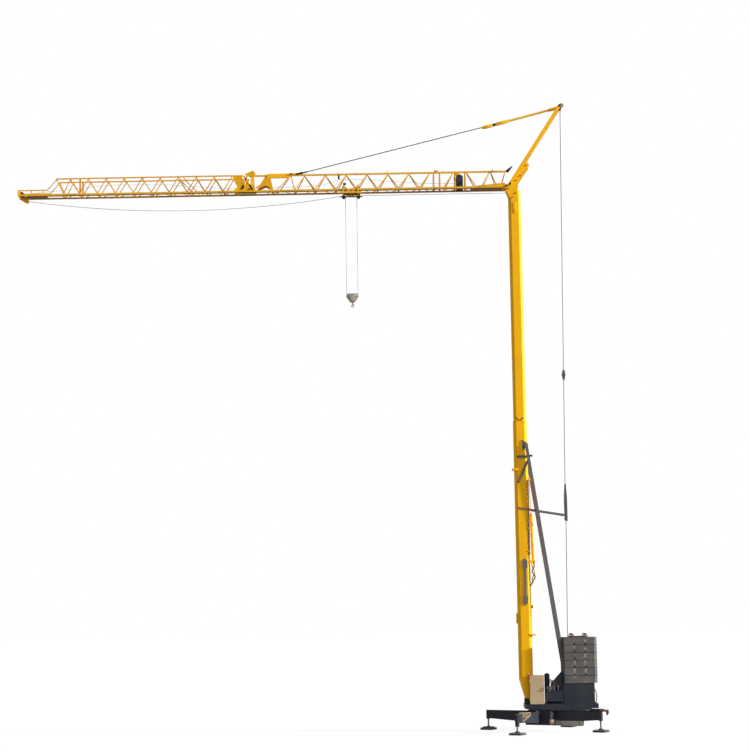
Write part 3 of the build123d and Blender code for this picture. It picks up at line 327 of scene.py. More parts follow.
def cast_concrete(name):
    """Concrete with dark and chalky streaks, and lime below the lifting pockets."""
    finish, tree, shader, places = new_finish(name)
    patches = ranged(tree, grain(tree, places, 1.6, 6.0), 0.35, 0.68)
    tone = mixed(tree, patches, (0.082, 0.076, 0.069), (0.135, 0.125, 0.112))
    streaks = ranged(tree, grain(tree, places, 3.0, 5.0, (2.4, 2.4, 0.25)), 0.55, 0.75, 0.0, 0.45)
    tone = mixed(tree, streaks, tone, (0.05, 0.045, 0.04))
    chalk = ranged(tree, grain(tree, places, 2.3, 5.0, (3.2, 3.2, 0.35)), 0.66, 0.78, 0.0, 0.4)
    tone = mixed(tree, chalk, tone, (0.26, 0.245, 0.225))
    across = tree.nodes.new("ShaderNodeSeparateXYZ")
    tree.links.new(places, across.inputs["Vector"])
    pocket_half = 0.055
    for pocket_x in (stack_front + 0.54, stack_front + 1.06):
        under = tree.nodes.new("ShaderNodeMath")
        under.operation = "COMPARE"
        under.inputs[1].default_value = pocket_x
        under.inputs[2].default_value = pocket_half
        tree.links.new(across.outputs["X"], under.inputs[0])
        lime = tree.nodes.new("ShaderNodeMath")
        lime.operation = "MULTIPLY"
        tree.links.new(under.outputs[0], lime.inputs[0])
        runs = ranged(tree, grain(tree, places, 4.0, 5.0, (2.0, 2.0, 1.2)), 0.45, 0.62, 0.0, 0.7)
        tree.links.new(runs, lime.inputs[1])
        tone = mixed(tree, lime.outputs[0], tone, (0.34, 0.325, 0.30))
    tree.links.new(tone, shader.inputs["Base Color"])
    shader.inputs["Roughness"].default_value = 0.9
    raised(tree, shader, grain(tree, places, 26.0, 8.0), 0.35, 0.006)
    return finish


def laid_wire(name, light, dark):
    """Wire rope: strands that cross the rope at a slant."""
    finish, tree, shader, places = new_finish(name)
    strands = tree.nodes.new("ShaderNodeTexWave")
    strands.bands_direction = "DIAGONAL"
    strands.inputs["Scale"].default_value = 18.0
    tree.links.new(places, strands.inputs["Vector"])
    tree.links.new(mixed(tree, strands.outputs["Fac"], dark, light), shader.inputs["Base Color"])
    shader.inputs["Metallic"].default_value = 0.1
    shader.inputs["Roughness"].default_value = 0.7
    raised(tree, shader, strands.outputs["Fac"], 0.3, 0.003)
    return finish


def worn_steel(name, light, dark, threads=0.0):
    """Greased or rusty steel, with a screw thread where the piece has one."""
    finish, tree, shader, places = new_finish(name)
    tone = mixed(tree, ranged(tree, grain(tree, places, 7.0, 6.0), 0.35, 0.65), dark, light)
    tree.links.new(tone, shader.inputs["Base Color"])
    shader.inputs["Metallic"].default_value = 0.45
    tree.links.new(ranged(tree, grain(tree, places, 12.0), 0.3, 0.7, 0.4, 0.7), shader.inputs["Roughness"])
    height = grain(tree, places, 60.0, 4.0)
    if threads:
        turns = tree.nodes.new("ShaderNodeTexWave")
        turns.bands_direction = "Z"
        turns.inputs["Scale"].default_value = threads
        tree.links.new(places, turns.inputs["Vector"])
        height = turns.outputs["Fac"]
    raised(tree, shader, height, 0.4, 0.003)
    return finish


def moulded(name, colour, pale, rough=0.75):
    """Rubber or plastic, dusty in patches."""
    finish, tree, shader, places = new_finish(name)
    dust = ranged(tree, grain(tree, places, 5.0, 6.0), 0.45, 0.75)
    tree.links.new(mixed(tree, dust, colour, pale), shader.inputs["Base Color"])
    shader.inputs["Roughness"].default_value = rough
    raised(tree, shader, grain(tree, places, 70.0, 3.0), 0.15, 0.002)
    return finish


# Paints have a tone, a faded tone and a tone of dirt, then how dirty and how rough they are
jib_tones = (0.84, 0.42, 0.004), (0.74, 0.37, 0.01), (0.30, 0.14, 0.01)
finishes = {
    "yellow_paint": weathered_paint(
        "tower_yellow", (0.96, 0.48, 0.003), (0.90, 0.445, 0.006), (0.46, 0.22, 0.01), 0.3),
    "jib_paint": weathered_paint("jib_yellow", *jib_tones, 0.5),
    "anthracite_paint": weathered_paint(
        "anthracite", (0.023, 0.026, 0.036), (0.036, 0.039, 0.05), (0.05, 0.04, 0.032), 0.5),
    "concrete": cast_concrete("ballast_concrete"),
    "black_pad": moulded("pad_black", (0.008, 0.008, 0.009), (0.022, 0.022, 0.025)),
    "cabinet_paint": weathered_paint(
        "cabinet_beige", (0.52, 0.385, 0.235), (0.46, 0.33, 0.19), (0.20, 0.12, 0.06), 0.4, 0.5),
    "black_paint": weathered_paint(
        "tank_black", (0.010, 0.010, 0.012), (0.022, 0.022, 0.026), (0.05, 0.04, 0.03), 0.3),
    "strut_paint": weathered_paint(
        "strut_grey", (0.135, 0.12, 0.115), (0.17, 0.15, 0.14), (0.07, 0.05, 0.04), 0.5),
    "worn_steel": worn_steel("greased_steel", (0.16, 0.155, 0.15), (0.05, 0.048, 0.046)),
    "wire_rope": laid_wire("galvanised_rope", (0.38, 0.43, 0.52), (0.28, 0.32, 0.39)),
    "dark_fitting": weathered_paint(
        "fitting_dark", (0.024, 0.024, 0.03), (0.04, 0.038, 0.042), (0.07, 0.045, 0.03), 0.5),
    "block_paint": weathered_paint(
        "block_grey", (0.42, 0.355, 0.285), (0.34, 0.285, 0.23), (0.16, 0.11, 0.07), 0.5),
}
# A darker copy of the jib paint for the lacing: painted shade, standing in for the shade on the lacing bars
lacing_shaded_gold = weathered_paint(
    "lacing_shaded_gold", (0.66, 0.315, 0.003), (0.56, 0.26, 0.006), (0.22, 0.10, 0.01), 0.5)
jack_steel = worn_steel("jack_thread", (0.20, 0.19, 0.18), (0.07, 0.065, 0.06), 20.0)
stay_rope = laid_wire("stay_rope_grey", (0.11, 0.112, 0.135), (0.075, 0.076, 0.092))
hook_steel = worn_steel("hook_dark_steel", (0.055, 0.052, 0.05), (0.02, 0.019, 0.018))
guide_grey = weathered_paint(
    "guide_grey", (0.085, 0.085, 0.09), (0.12, 0.118, 0.12), (0.05, 0.04, 0.035), 0.6)
rusty = worn_steel("rusty_steel", (0.11, 0.036, 0.016), (0.05, 0.017, 0.009))
brown_hose = moulded("brown_hose", (0.10, 0.05, 0.03), (0.16, 0.09, 0.06), 0.6)
grey_pipe_paint = weathered_paint(
    "pipe_grey", (0.20, 0.19, 0.19), (0.26, 0.25, 0.245), (0.10, 0.08, 0.07), 0.4)
motor_blue = weathered_paint(
    "motor_blue_grey", (0.10, 0.125, 0.16), (0.14, 0.16, 0.19), (0.05, 0.04, 0.035), 0.5)
# Dark brown for the undersides of the jib: painted shade
underside_shade_brown = weathered_paint(
    "underside_painted_shade", (0.30, 0.14, 0.012), (0.22, 0.10, 0.015), (0.10, 0.05, 0.02), 0.5, 0.6)
# Deep brown for the collar braces: painted shade
collar_shade_brown = weathered_paint(
    "collar_painted_shade", (0.16, 0.075, 0.01), (0.12, 0.055, 0.01), (0.05, 0.03, 0.015), 0.5, 0.6)
tow_grey = weathered_paint(
    "tow_frame_grey", (0.34, 0.31, 0.27), (0.42, 0.385, 0.33), (0.12, 0.10, 0.08), 0.6, 0.6)
# A lighter grey for the lips on top of the pads
pad_top = moulded("pad_lip_pale_grey", (0.10, 0.098, 0.095), (0.28, 0.27, 0.255))
lamp_red = moulded("lamp_red", (0.45, 0.02, 0.015), (0.55, 0.06, 0.04), 0.25)
# Black for the slab seams, which are dark joints, and for the cover slot, where it is painted shade inside
# the opening
seam_black_slot_shade = moulded("seam_black_slot_shade", (0.002, 0.002, 0.0022), (0.006, 0.006, 0.0065), 0.95)
seam_black_slot_shade.node_tree.nodes["Principled BSDF"].inputs["Specular IOR Level"].default_value = 0.02

grease_level = keel - 0.17
for part in frame["record"]["subparts"]:
    node = frame["nodes"][part["node"]]
    node.data.materials.clear()
    node.data.materials.append(finishes[part["material_slot"]])
for name in ("guy_rope", "tie_rope"):
    frame["nodes"][name].data.materials[0] = stay_rope
# The lacing bars of the frame take the darker lacing paint with its painted shade
for name in ("inner_sides", "outer_sides", "inner_floor", "outer_floor"):
    frame["nodes"][name].data.materials[0] = lacing_shaded_gold
for number in range(1, 5):
    frame["nodes"][f"jack_screw_{number}"].data.materials[0] = jack_steel
frame["nodes"]["trolley_frame"].data.materials[0] = greasy_below("trolley_yellow", grease_level)
frame["nodes"]["jib_foot_shaft"].data.materials[0] = finishes["dark_fitting"]
frame["nodes"]["hook"].data.materials[0] = hook_steel
frame["nodes"]["guy_fittings"].data.materials[0] = guide_grey


def fit(piece, body, slot, finish=None):
    """Give a piece its finish and the body that carries it."""
    piece.data.materials.clear()
    piece.data.materials.append(finish or finishes[slot])
    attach(piece, body)
    return piece


def both(y):
    """The same range on the near and on the far side."""
    return (-y[1], -y[0]), y


# Ropes of the hoist: the falls, the run and the slack rope
rope_radius, rope_sides, rope_edge = 0.013, 8, 0.001
fall_x = (falls_low[0] + 0.007, falls_high[0] - 0.007)
falls = joined("hoist_falls_rope", [
    rod("fall", (x, 0, falls_high[2]), (x, 0, falls_low[2]), rope_radius, rope_sides, rope_edge)
    for x in fall_x
])
run_z = (run_low[2] + run_high[2]) / 2
run_ends = (run_high[0], 0, run_z), (run_low[0], 0, run_z)
run = rod("hoist_run_rope", *run_ends, rope_radius, rope_sides, rope_edge)
for rope, node in ((falls, "hoist_falls"), (run, "hoist_rope_run")):
    rope.data.materials.append(finishes["wire_rope"])
    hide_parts(node)
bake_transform(falls)
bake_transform(run)

slack_links = 16
slack_sag = 0.60
slack_length = slack_high[0] - slack_low[0]


def slack_point(share):
    """A point of the slack rope, from its end at the nose to the trolley."""
    return slack_low[0] + share * slack_length, 0, run_z - 4 * slack_sag * share * (1 - share)


def even_place(share):
    """How far along a smooth blend its weight is the share."""
    return 0.5 - math.sin(math.asin(1 - 2 * share) / 3)


for number in range(slack_links):
    first, last = number / slack_links, (number + 1) / slack_links
    ends = slack_point(first), slack_point(last)
    link = rod(f"slack_hoist_rope_{number + 1}", *ends, rope_radius, rope_sides, rope_edge)
    link.data.materials.append(finishes["wire_rope"])
    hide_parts("slack_rope")
    reach = slack_length / slack_links / (even_place(last) - even_place(first))
    start = ends[0][0] - even_place(first) * reach
    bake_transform(link)

# Tower head
head_bolt_places = (
    (-0.73, 26.09), (-0.91, 25.88), (-1.10, 26.32), (-0.98, 26.54),
    (-0.72, 26.73), (-0.49, 26.95), (-0.60, 27.07), (-0.21, 27.47),
)
fit(spread(bolt("head_bolts", 0.035, 0.03), [
    ((x, side * head_side, z), (0, side, 0)) for x, z in head_bolt_places for side in (-1, 1)
]), crane, "dark_fitting")
hook_outline = [
    (-1.18, 27.30), (-1.10, 27.37), (-0.97, 27.46), (-0.86, 27.53), (-0.83, 27.50),
    (-0.92, 27.39), (-1.00, 27.27), (-1.07, 27.20), (-1.18, 27.23),
]
fit(plate("chord_end_hook", hook_outline, (-0.03, 0.03)), crane, "dark_fitting")
shaft_low, shaft_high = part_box("jib_foot_shaft")
shaft_x, shaft_z = (shaft_low[0] + shaft_high[0]) / 2, (shaft_low[2] + shaft_high[2]) / 2
fit(joined("foot_shaft_caps", [
    rod("cap", (shaft_x, y, shaft_z), (shaft_x, y + reach, shaft_z), 0.055, 24)
    for y, reach in ((shaft_low[1], -0.02), (shaft_high[1], 0.02))
]), crane, "dark_fitting")
strut_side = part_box("tie_strut")[1][1]
foot_x, foot_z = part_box("upper_tower")[0][0] + 0.09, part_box("upper_tower")[1][2] + 0.31
fit(joined("tie_strut_pins", [
    rod("pin", (x, -strut_side - 0.03, z), (x, strut_side + 0.03, z), 0.05, 20)
    for x, z in ((foot_x, foot_z), (tip_x, tip_z))
]), crane, "dark_fitting")

# Tie
collar_x, collar_half, collar_depth = -1.70, 0.07, 0.062
collar_z = joint_z + (collar_x - joint_x) * bar_slope
rise = collar_half * bar_slope
collar_outline = [
    (collar_x - collar_half, collar_z - rise - collar_depth),
    (collar_x + collar_half, collar_z + rise - collar_depth),
    (collar_x + collar_half, collar_z + rise + collar_depth),
    (collar_x - collar_half, collar_z - rise + collar_depth),
]
fit(plate("tie_bar_coupling", collar_outline, (-0.06, 0.06)), crane, "dark_fitting")
sockets = []
for y in (-0.032, 0.032):
    x, z = tie_end[0] + 0.02, tie_end[1]
    sockets.append(rod("socket", (x - 0.16, y, z - 0.03), (x + 0.18, y, z + 0.05), 0.05, 16, 0.012))
    sockets.append(rod("neck", (x + 0.16, y, z + 0.045), (x + 0.40, y, z + 0.40 * tie_slope), 0.028, 12))
fit(joined("tie_rope_sockets", sockets), crane, "dark_fitting")

sleeves = []
for start, end, half in ((-2.20, -1.78, 0.075), (-1.62, -0.98, 0.075), (1.02, 1.44, 0.07)):
    low, high = joint_z + (start - joint_x) * bar_slope, joint_z + (end - joint_x) * bar_slope
    outline = [(start, low - half), (end, high - half), (end, high + half), (start, low + half)]
    sleeves += [plate("sleeve", outline, y) for y in both((0.045, 0.06))]
fit(joined("tie_bar_sleeves", sleeves), crane, "yellow_paint")
anchor_x, anchor_z = -11.81, chord_top + 0.01
fit(rod("tie_anchor_pin", (anchor_x, -0.10, anchor_z), (anchor_x, 0.10, anchor_z), 0.045, 20),
    crane, "dark_fitting")
tip_cheek = [(1.44, 30.42), (1.56, 30.30), (1.72, 30.52), (1.74, 30.63), (1.66, 30.67)]
fit(joined("strut_tip_sheave", [
    rod("disc", (1.66, -0.03, 30.56), (1.66, 0.03, 30.56), 0.11, 24, 0.012),
    *[plate("cheek", tip_cheek, y) for y in both((0.032, 0.044))],
]), crane, "strut_paint", grey_pipe_paint)

# Jib
peg_places = (-9.47, -7.03, -4.27, -1.84)
fit(joined("chord_pegs", [
    rod("peg", (x, 0, chord_top - 0.005), (x, 0, chord_top + 0.07), 0.022, 10) for x in peg_places
]), crane, "jib_paint")
fit(block("chord_box", (-4.72, -4.53), (-0.05, 0.05), (chord_top, chord_top + 0.075), 0.01),
    crane, "jib_paint")
fit(block("winch_hanger", (-3.68, -3.44), (-0.06, 0.06), (chord_under - 0.13, chord_under), 0.01),
    crane, "jib_paint")
guide_x, guide_z = -9.453, 27.06
guide_cheek = [
    (guide_x - 0.05, chord_under), (guide_x + 0.05, chord_under),
    (guide_x + 0.04, guide_z - 0.03), (guide_x - 0.04, guide_z - 0.03),
]
fit(joined("rope_guide", [
    *[plate("cheek", guide_cheek, y) for y in both((0.022, 0.03))],
    rod("roller", (guide_x, -0.022, guide_z), (guide_x, 0.022, guide_z), 0.045, 20),
]), crane, "dark_fitting")
pull_rope_route = [
    (-3.55, 26.70), (-5.03, 26.72), (-7.01, 26.87), (-8.07, 26.98), (-9.453, 27.005), (-10.2, 26.74),
    (-11.28, 26.66), (-15.36, 26.67), (-18.0, 26.90), (-20.47, 26.94), (-21.56, 26.87), (-25.26, 26.52),
]
fit(hose("trolley_pull_rope", [(x, 0, z) for x, z in pull_rope_route], 0.008, 2), crane, "wire_rope")

# Round lacing of the jib, over the bars of the frame
lacing_radius, lacing_sides = 0.026, 12
lacing_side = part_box("outer_sides")[1][1] - 0.014
inner_depth = chord_under - keel
outer_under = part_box("outer_chords")[1][2] - 0.06


def zigzag(start, end, panels, top, bottom):
    """End points of a zigzag that starts at the top, as (x, z) pairs."""
    half = (end - start) / panels / 2
    corners = [(start + n * half, bottom if n % 2 else top) for n in range(2 * panels + 1)]
    return list(zip(corners, corners[1:]))


def lacing_tubes(name, regular, odd, lean):
    """The tubes of both jib sides, with lean giving how far out a level is."""
    like, unlike = [
        [[Vector((x, side * lean(z), z)) for x, z in ends] for ends in group for side in (-1, 1)]
        for group in (regular, odd)
    ]
    length = (like[0][1] - like[0][0]).length
    tube = rod(f"{name}_tube", (0, 0, 0), (0, 0, length), lacing_radius, lacing_sides)
    pieces = [spread(tube, [(start, end - start) for start, end in like])]
    pieces += [rod("tube", start, end, lacing_radius, lacing_sides) for start, end in unlike]
    return fit(joined(name, pieces), crane, "jib_paint", lacing_shaded_gold)


tower_axis = (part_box("upper_tower")[0][0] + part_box("upper_tower")[1][0]) / 2
# Tubes of other lengths: how far their upper and lower ends are from the tower axis
inner_odd = [
    (0.435, 0.660), (1.140, 0.860), (1.210, 1.595), (2.335, 1.880), (3.010, 3.465),
    (10.350, 10.810), (11.010, 10.840), (11.060, 11.710),
]
lacing_tubes(
    "inner_lacing_tubes",
    zigzag(tower_axis - 4.16, tower_axis - 10.35, 6, chord_under, rail),
    [((tower_axis - top, chord_under), (tower_axis - bottom, rail)) for top, bottom in inner_odd],
    lambda z: lacing_side * (1 - (z - keel - bottom_chord / 2) / inner_depth),
)
outer_start, outer_turn, outer_end = tower_axis - 13.91, tower_axis - 21.92, tower_axis - 22.595
lacing_tubes(
    "outer_lacing_tubes",
    zigzag(outer_start, outer_turn, 9, outer_under, rail),
    zigzag(outer_turn, outer_end, 1, outer_under, rail)
    + [((outer_end, outer_under), (tower_axis - 23.06, rail + 0.205))],
    lambda z: lacing_side,
)
brace_half, brace_end = 0.35, 0.375
fit(joined("sway_braces", [
    rod("brace", (x - brace_half, -side * brace_end, chord_top - 0.14),
        (x + brace_half, side * brace_end, rail), 0.016, 10)
    for x in (-16.76, -17.0) for side in (-1, 1)
]), crane, "jib_paint")

# The rail flanges and the floor plates under the jib take the brown of painted shade
fit(joined("trolley_rail_flanges", [
    block("flange", (-24.9, -1.42), y, (keel, keel + 0.012), 0.003) for y in both((0.19, 0.382))
]), crane, "jib_paint", underside_shade_brown)
# The plate at the jib foot fills the dark seen between the bottom chords, partly floor bracing and partly
# painted shade
floor_y, floor_z = (-0.20, 0.20), (keel + 0.004, keel + 0.02)
fit(block("jib_foot_floor_shade", (-2.95, -1.40), floor_y, floor_z, 0.004), crane, "jib_paint", underside_shade_brown)
fit(block("nose_floor", (-25.2, -23.9), floor_y, floor_z, 0.004), crane, "jib_paint", underside_shade_brown)
nose_x, nose_z = -25.18, keel + 0.16
fit(joined("nose_sheaves", [
    *[rod("disc", (nose_x, y, nose_z), (nose_x, y + 0.05, nose_z), 0.11, 24, 0.01)
      for y in (-0.2, -0.025, 0.15)],
    rod("axle", (nose_x, -0.40, nose_z), (nose_x, 0.40, nose_z), 0.03, 16),
]), crane, "worn_steel", rusty)
half_width = 0.05
for word, start, end in (
    ("rising", (-14.25, 26.50), (-13.95, 27.20)),
    ("falling", (-14.13, 27.20), (-13.70, 26.46)),
):
    outline = [
        (start[0] - half_width, start[1]), (start[0] + half_width, start[1]),
        (end[0] + half_width, end[1]), (end[0] - half_width, end[1]),
    ]
    fit(joined(f"fold_brace_{word}", [
        plate("brace", outline, y) for y in both((fold_side - 0.025, fold_side))
    ]), crane, "jib_paint")
fold_bolt_places = ((-14.16, 26.60), (-13.87, 26.50), (-13.73, 26.55))
fit(spread(bolt("fold_bolts", 0.045, 0.03), [
    ((x, side * fold_side, z), (0, side, 0)) for x, z in fold_bolt_places for side in (-1, 1)
]), crane, "dark_fitting")

# Tower
# The collar braces are painted deep brown, which stands in for the shade on them
vee_left = [(-1.04, 15.02), (-0.985, 15.02), (-0.79, tower_joint), (-0.85, tower_joint)]
vee_right = [(-0.655, 15.0), (-0.60, 15.0), (-0.74, tower_joint), (-0.79, tower_joint)]
for word, outline in (("left", vee_left), ("right", vee_right)):
    fit(joined(f"collar_brace_{word}", [
        plate("brace", outline, y) for y in both((upper_side, upper_side + 0.02))
    ]), crane, "jib_paint", collar_shade_brown)
fit(block("tower_hatch", (-0.895, -0.695), (-upper_side - 0.012, -upper_side), (25.09, 25.645), 0.01),
    crane, "yellow_paint")
fit(block("tower_step_upper", (-1.24, -0.92), (-tower_side - 0.02, -tower_side + 0.16), (12.40, 12.51)),
    crane, "yellow_paint")
fit(block("tower_step_front", (tower_front - 0.075, tower_front), (-0.12, 0.02), (5.08, 5.58), 0.012),
    crane, "yellow_paint")
fit(block("tower_step_rear", (-0.60, -0.27), (-0.34, -0.20), (4.50, 4.58)), crane, "yellow_paint")
fit(block("tower_nub_rear", (tower_rear, tower_rear + 0.09), (-0.16, -0.06), (5.80, 5.95)),
    crane, "yellow_paint")
fit(rod("strut_pin_end", (-0.40, -0.40, 13.11), (-0.24, -0.40, 13.11), 0.05), crane, "worn_steel", rusty)
fit(rod("tower_pin_end", (tower_rear - 0.01, -0.15, 5.86), (tower_rear + 0.05, -0.15, 5.86), 0.04),
    crane, "worn_steel", rusty)
fit(joined("link_pins", [
    rod("pin", (x, side * 0.30, z), (x, side * 0.385, z), 0.045, 16)
    for x, z in ((-0.95, 13.08), (-0.95, 11.86)) for side in (-1, 1)
]), crane, "dark_fitting")
pipe_x, pipe_y = -0.488, -0.302
fit(rod("tower_pipe", (pipe_x, pipe_y, 8.34), (pipe_x, pipe_y, 11.95), 0.036),
    crane, "strut_paint", grey_pipe_paint)
fit(joined("tower_pipe_clamps", [
    block("clamp", (pipe_x - 0.085, pipe_x + 0.045), (pipe_y - 0.045, pipe_y + 0.085), (z, z + 0.05))
    for z in (8.5, 9.6, 10.7, 11.8)
]), crane, "yellow_paint")
brown_route = [
    (-0.31, -0.06, 8.0), (-0.22, -0.18, 7.82), (-0.44, -0.24, 7.56),
    (-0.20, -0.24, 7.30), (-0.38, -0.20, 7.08), (tower_rear - 0.01, -0.12, 6.84),
]
yellow_route = [
    (-0.34, -0.06, 8.0), (-0.42, -0.16, 7.82), (-0.20, -0.20, 7.50),
    (-0.42, -0.20, 7.22), (-0.30, -0.16, 7.02), (tower_rear - 0.01, -0.08, 6.90),
]
fit(hose("tower_hose_brown", brown_route, 0.03), crane, "black_paint", brown_hose)
fit(hose("tower_hose_yellow", yellow_route, 0.03), crane, "black_paint", finishes["yellow_paint"])

# Counterweight
fit(joined("stack_front_plates", [
    block("edge_plate", x, y, (stack_bottom, stack_top - 0.02), 0.003)
    for x, sides in (((stack_front - 0.012, stack_front), (0.502, stack_side + 0.010)),
                     ((stack_front - 0.012, stack_front + 0.065), (stack_side, stack_side + 0.010)))
    for y in both(sides)
]), crane, "anthracite_paint")
seam, corner = 0.004, 0.13
recess_side, recess_back = 0.50, stack_front + 0.28
seam_plan = [
    (stack_front, -stack_side - seam), (stack_rear - corner, -stack_side - seam),
    (stack_rear + seam, -stack_side + corner), (stack_rear + seam, stack_side - corner),
    (stack_rear - corner, stack_side + seam), (stack_front, stack_side + seam),
    (stack_front, recess_side), (recess_back, recess_side),
    (recess_back, -recess_side), (stack_front, -recess_side),
]
lying = Matrix.Rotation(math.pi / 2, 4, "X")
seams = []
for level in range(1, slab_count):
    layer = plate("seam", seam_plan, (-0.009, 0.009), 0.002)
    layer.matrix_world = Matrix.Translation((0, 0, stack_bottom + level * slab_height)) @ lying
    seams.append(layer)
fit(joined("slab_seams", seams), crane, "concrete", seam_black_slot_shade)
bar_z = (stack_top - 0.002, stack_top + 0.055)
loops = []
for y in (-0.42, 0.42):
    loops.append(block("bar", (1.36, 2.14), (y - 0.025, y + 0.025), bar_z, 0.015))
    for x in (1.42, 2.06):
        arch = [(x - 0.08, y, stack_top), (x - 0.08, y, stack_top + 0.10), (x, y, stack_top + 0.19),
                (x + 0.08, y, stack_top + 0.10), (x + 0.08, y, stack_top)]
        loops.append(hose("loop", arch, 0.026))
fit(joined("lifting_loops", loops), crane, "worn_steel", rusty)
hose_route = [
    (2.40, -0.60, 1.95), (2.47, -0.62, 1.90), (2.50, -0.62, 1.60), (2.47, -0.61, 1.35), (2.42, -0.60, deck),
]
fit(hose("ballast_hose", hose_route, 0.024), crane, "black_paint", brown_hose)

# Cabinet
door_face, cabinet_top = door_low[1], cabinet_high[2]
handle_x, grip_y = door_high[0] - 0.03, door_face - 0.018
fit(joined("door_handle", [
    rod("grip", (handle_x, grip_y, 1.9), (handle_x, grip_y, 2.08), 0.012, 12),
    *[rod("stem", (handle_x, door_face, z), (handle_x, grip_y, z), 0.01, 12) for z in (1.92, 2.06)],
]), "cabinet_door", "black_paint")
lock_x, lock_z = -0.27, 1.91
fit(rod("door_lock", (lock_x, door_face + 0.002, lock_z), (lock_x, door_face - 0.008, lock_z), 0.024, 16),
    "cabinet_door", "worn_steel", rusty)
fit(block("cabinet_roof", (cabinet_low[0] + 0.01, cabinet_high[0] + 0.02),
          (cabinet_low[1] + 0.03, cabinet_high[1] + 0.02), (cabinet_top, cabinet_top + 0.025), 0.008),
    crane, "cabinet_paint")
lamp_x, lamp_y = cabinet_low[0] - 0.035, -0.62
fit(rod("cabinet_lamp", (lamp_x, lamp_y, cabinet_top - 0.06), (lamp_x, lamp_y, cabinet_top + 0.10),
        0.042, 20, 0.02), crane, "cabinet_paint", lamp_red)

# Machinery
# A black strip on the cover face: painted shade where the slot opens
fit(block("cover_slot_shade", (cover_low[0] + 0.05, cover_high[0] - 0.05), (cover_low[1] - 0.004, cover_low[1]),
          (deck + 0.02, deck + 0.12), 0.002), crane, "black_paint", seam_black_slot_shade)
overhang, lid = 0.012, cover_high[2] + 0.03
fit(block("cover_lid", (cover_low[0] - overhang, cover_high[0] + overhang),
          (cover_low[1] - overhang, cover_high[1] + overhang), (cover_high[2], lid), 0.01),
    crane, "anthracite_paint")
motor_y, motor_z = -0.585, 2.02
fit(joined("pump_motor", [
    rod("shell", (0.14, motor_y, motor_z), (0.36, motor_y, motor_z), 0.096, 24, 0.012),
    *[rod("fin", (x, motor_y, motor_z), (x + 0.012, motor_y, motor_z), 0.112, 24, 0.002)
      for x in (0.19, 0.225, 0.26, 0.295)],
    block("seat", (0.16, 0.34), (motor_y - 0.07, motor_y + 0.07), (lid, motor_z - 0.07)),
]), crane, "anthracite_paint", motor_blue)
fit(joined("pump_body", [
    block("valves", (0.36, 0.54), (motor_y - 0.08, motor_y + 0.08), (lid, motor_z + 0.14), 0.012),
    rod("filter", (0.66, motor_y, lid), (0.66, motor_y, motor_z + 0.16), 0.05, 20, 0.012),
]), crane, "worn_steel", hook_steel)
tank_low, tank_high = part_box("oil_tank")
tank_x, tank_y = (tank_low[0] + tank_high[0]) / 2, (tank_low[1] + tank_high[1]) / 2
fit(joined("tank_cap", [
    rod("rim", (tank_x, tank_y, tank_high[2]), (tank_x, tank_y, tank_high[2] + 0.02), 0.09, 24),
    rod("cap", (tank_x, tank_y, tank_high[2] + 0.02), (tank_x, tank_y, tank_high[2] + 0.05), 0.045, 16),
]), crane, "black_paint")
fit(joined("pump_hoses", [
    hose("line", [
        (tank_x + 0.10, tank_y - 0.08, 2.45 - 0.08 * n), (0.36, -0.45, 2.40 - 0.05 * n),
        (0.50 + 0.08 * n, motor_y, 2.36 - 0.03 * n), (0.46 + 0.10 * n, motor_y, motor_z + 0.10),
    ], 0.02)
    for n in range(3)
]), crane, "black_paint", brown_hose)

# Undercarriage, with the arms numbered as the jacks are, from the near right one
turns = [foot_turn + 90 * n for n in range(4)]


def on_arm(turn, radius, across, up):
    """A point on an outrigger arm, from its distances along and across it."""
    angle = math.radians(turn)
    along = Vector((math.cos(angle), math.sin(angle), 0))
    side = Vector((-math.sin(angle), math.cos(angle), 0))
    return along * radius + side * across + Vector((0, 0, up))


def arm_block(name, radius, across, up, edge=0.008, turn=foot_turn):
    """A block lying along an arm, which is the near right one unless a turn is given."""
    piece = block(name, radius, across, up, edge)
    piece.matrix_world = Matrix.Rotation(math.radians(turn), 4, "Z")
    return settle(piece)


fit(joined("arm_pins", [
    rod("pin", on_arm(t, 0.78, 0, 0.36), on_arm(t, 0.78, 0, 0.975), 0.05, 20) for t in turns
]), "undercarriage", "worn_steel", rusty)
fit(spread(bolt("arm_bolts", 0.028, 0.022), [
    (on_arm(t, r, side * 0.12, z), on_arm(t, 0, side, 0)) for t in turns for side in (-1, 1)
    for r, z in ((0.72, 0.55), (0.72, 0.85), (2.70, 0.62), (2.70, 0.88))
]), "undercarriage", "worn_steel", rusty)
link_plate = [(-1.30, 1.02), (-0.76, 1.01), (-0.77, 0.86), (-1.02, 0.62), (-1.28, 0.50)]
fit(plate("arm_link_plate", link_plate, (-2.33, -2.30)), "undercarriage", "cabinet_paint")
fit(joined("arm_link_pins", [
    rod("pin", (x, -2.37, z), (x, -2.28, z), 0.035, 12)
    for x, z in ((-0.84, 0.93), (-1.05, 0.76), (-1.2, 0.62))
]), "undercarriage", "worn_steel", rusty)
fit(arm_block("arm_top_beam", (2.42, 2.98), (-0.07, 0.36), (0.93, 1.064)),
    "undercarriage", "anthracite_paint")
fit(arm_block("arm_tread", (0.95, 2.40), (-0.10, 0.45), (0.94, 0.978)),
    "undercarriage", "anthracite_paint")
platform_low, platform_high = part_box("slewing_platform")
fit(joined("platform_skirts", [
    block("skirt", (platform_low[0] + 0.15, 2.25), y, (platform_low[2] - 0.085, platform_low[2]))
    for y in both((platform_high[1] - 0.05, platform_high[1] - 0.01))
]), crane, "anthracite_paint")
fit(joined("tow_frame", [
    arm_block("beam", (0.55, 2.10), (-0.125, -0.03), (0.29, 0.50), 0.01),
    arm_block("shelf", (0.45, 2.05), (-0.15, 0.10), (0.27, 0.31), 0.01),
]), "undercarriage", "strut_paint", tow_grey)
fit(block("tow_coupling", (0.22, 0.42), (-0.93, -0.86), (0.36, 0.58), 0.012),
    "undercarriage", "cabinet_paint")
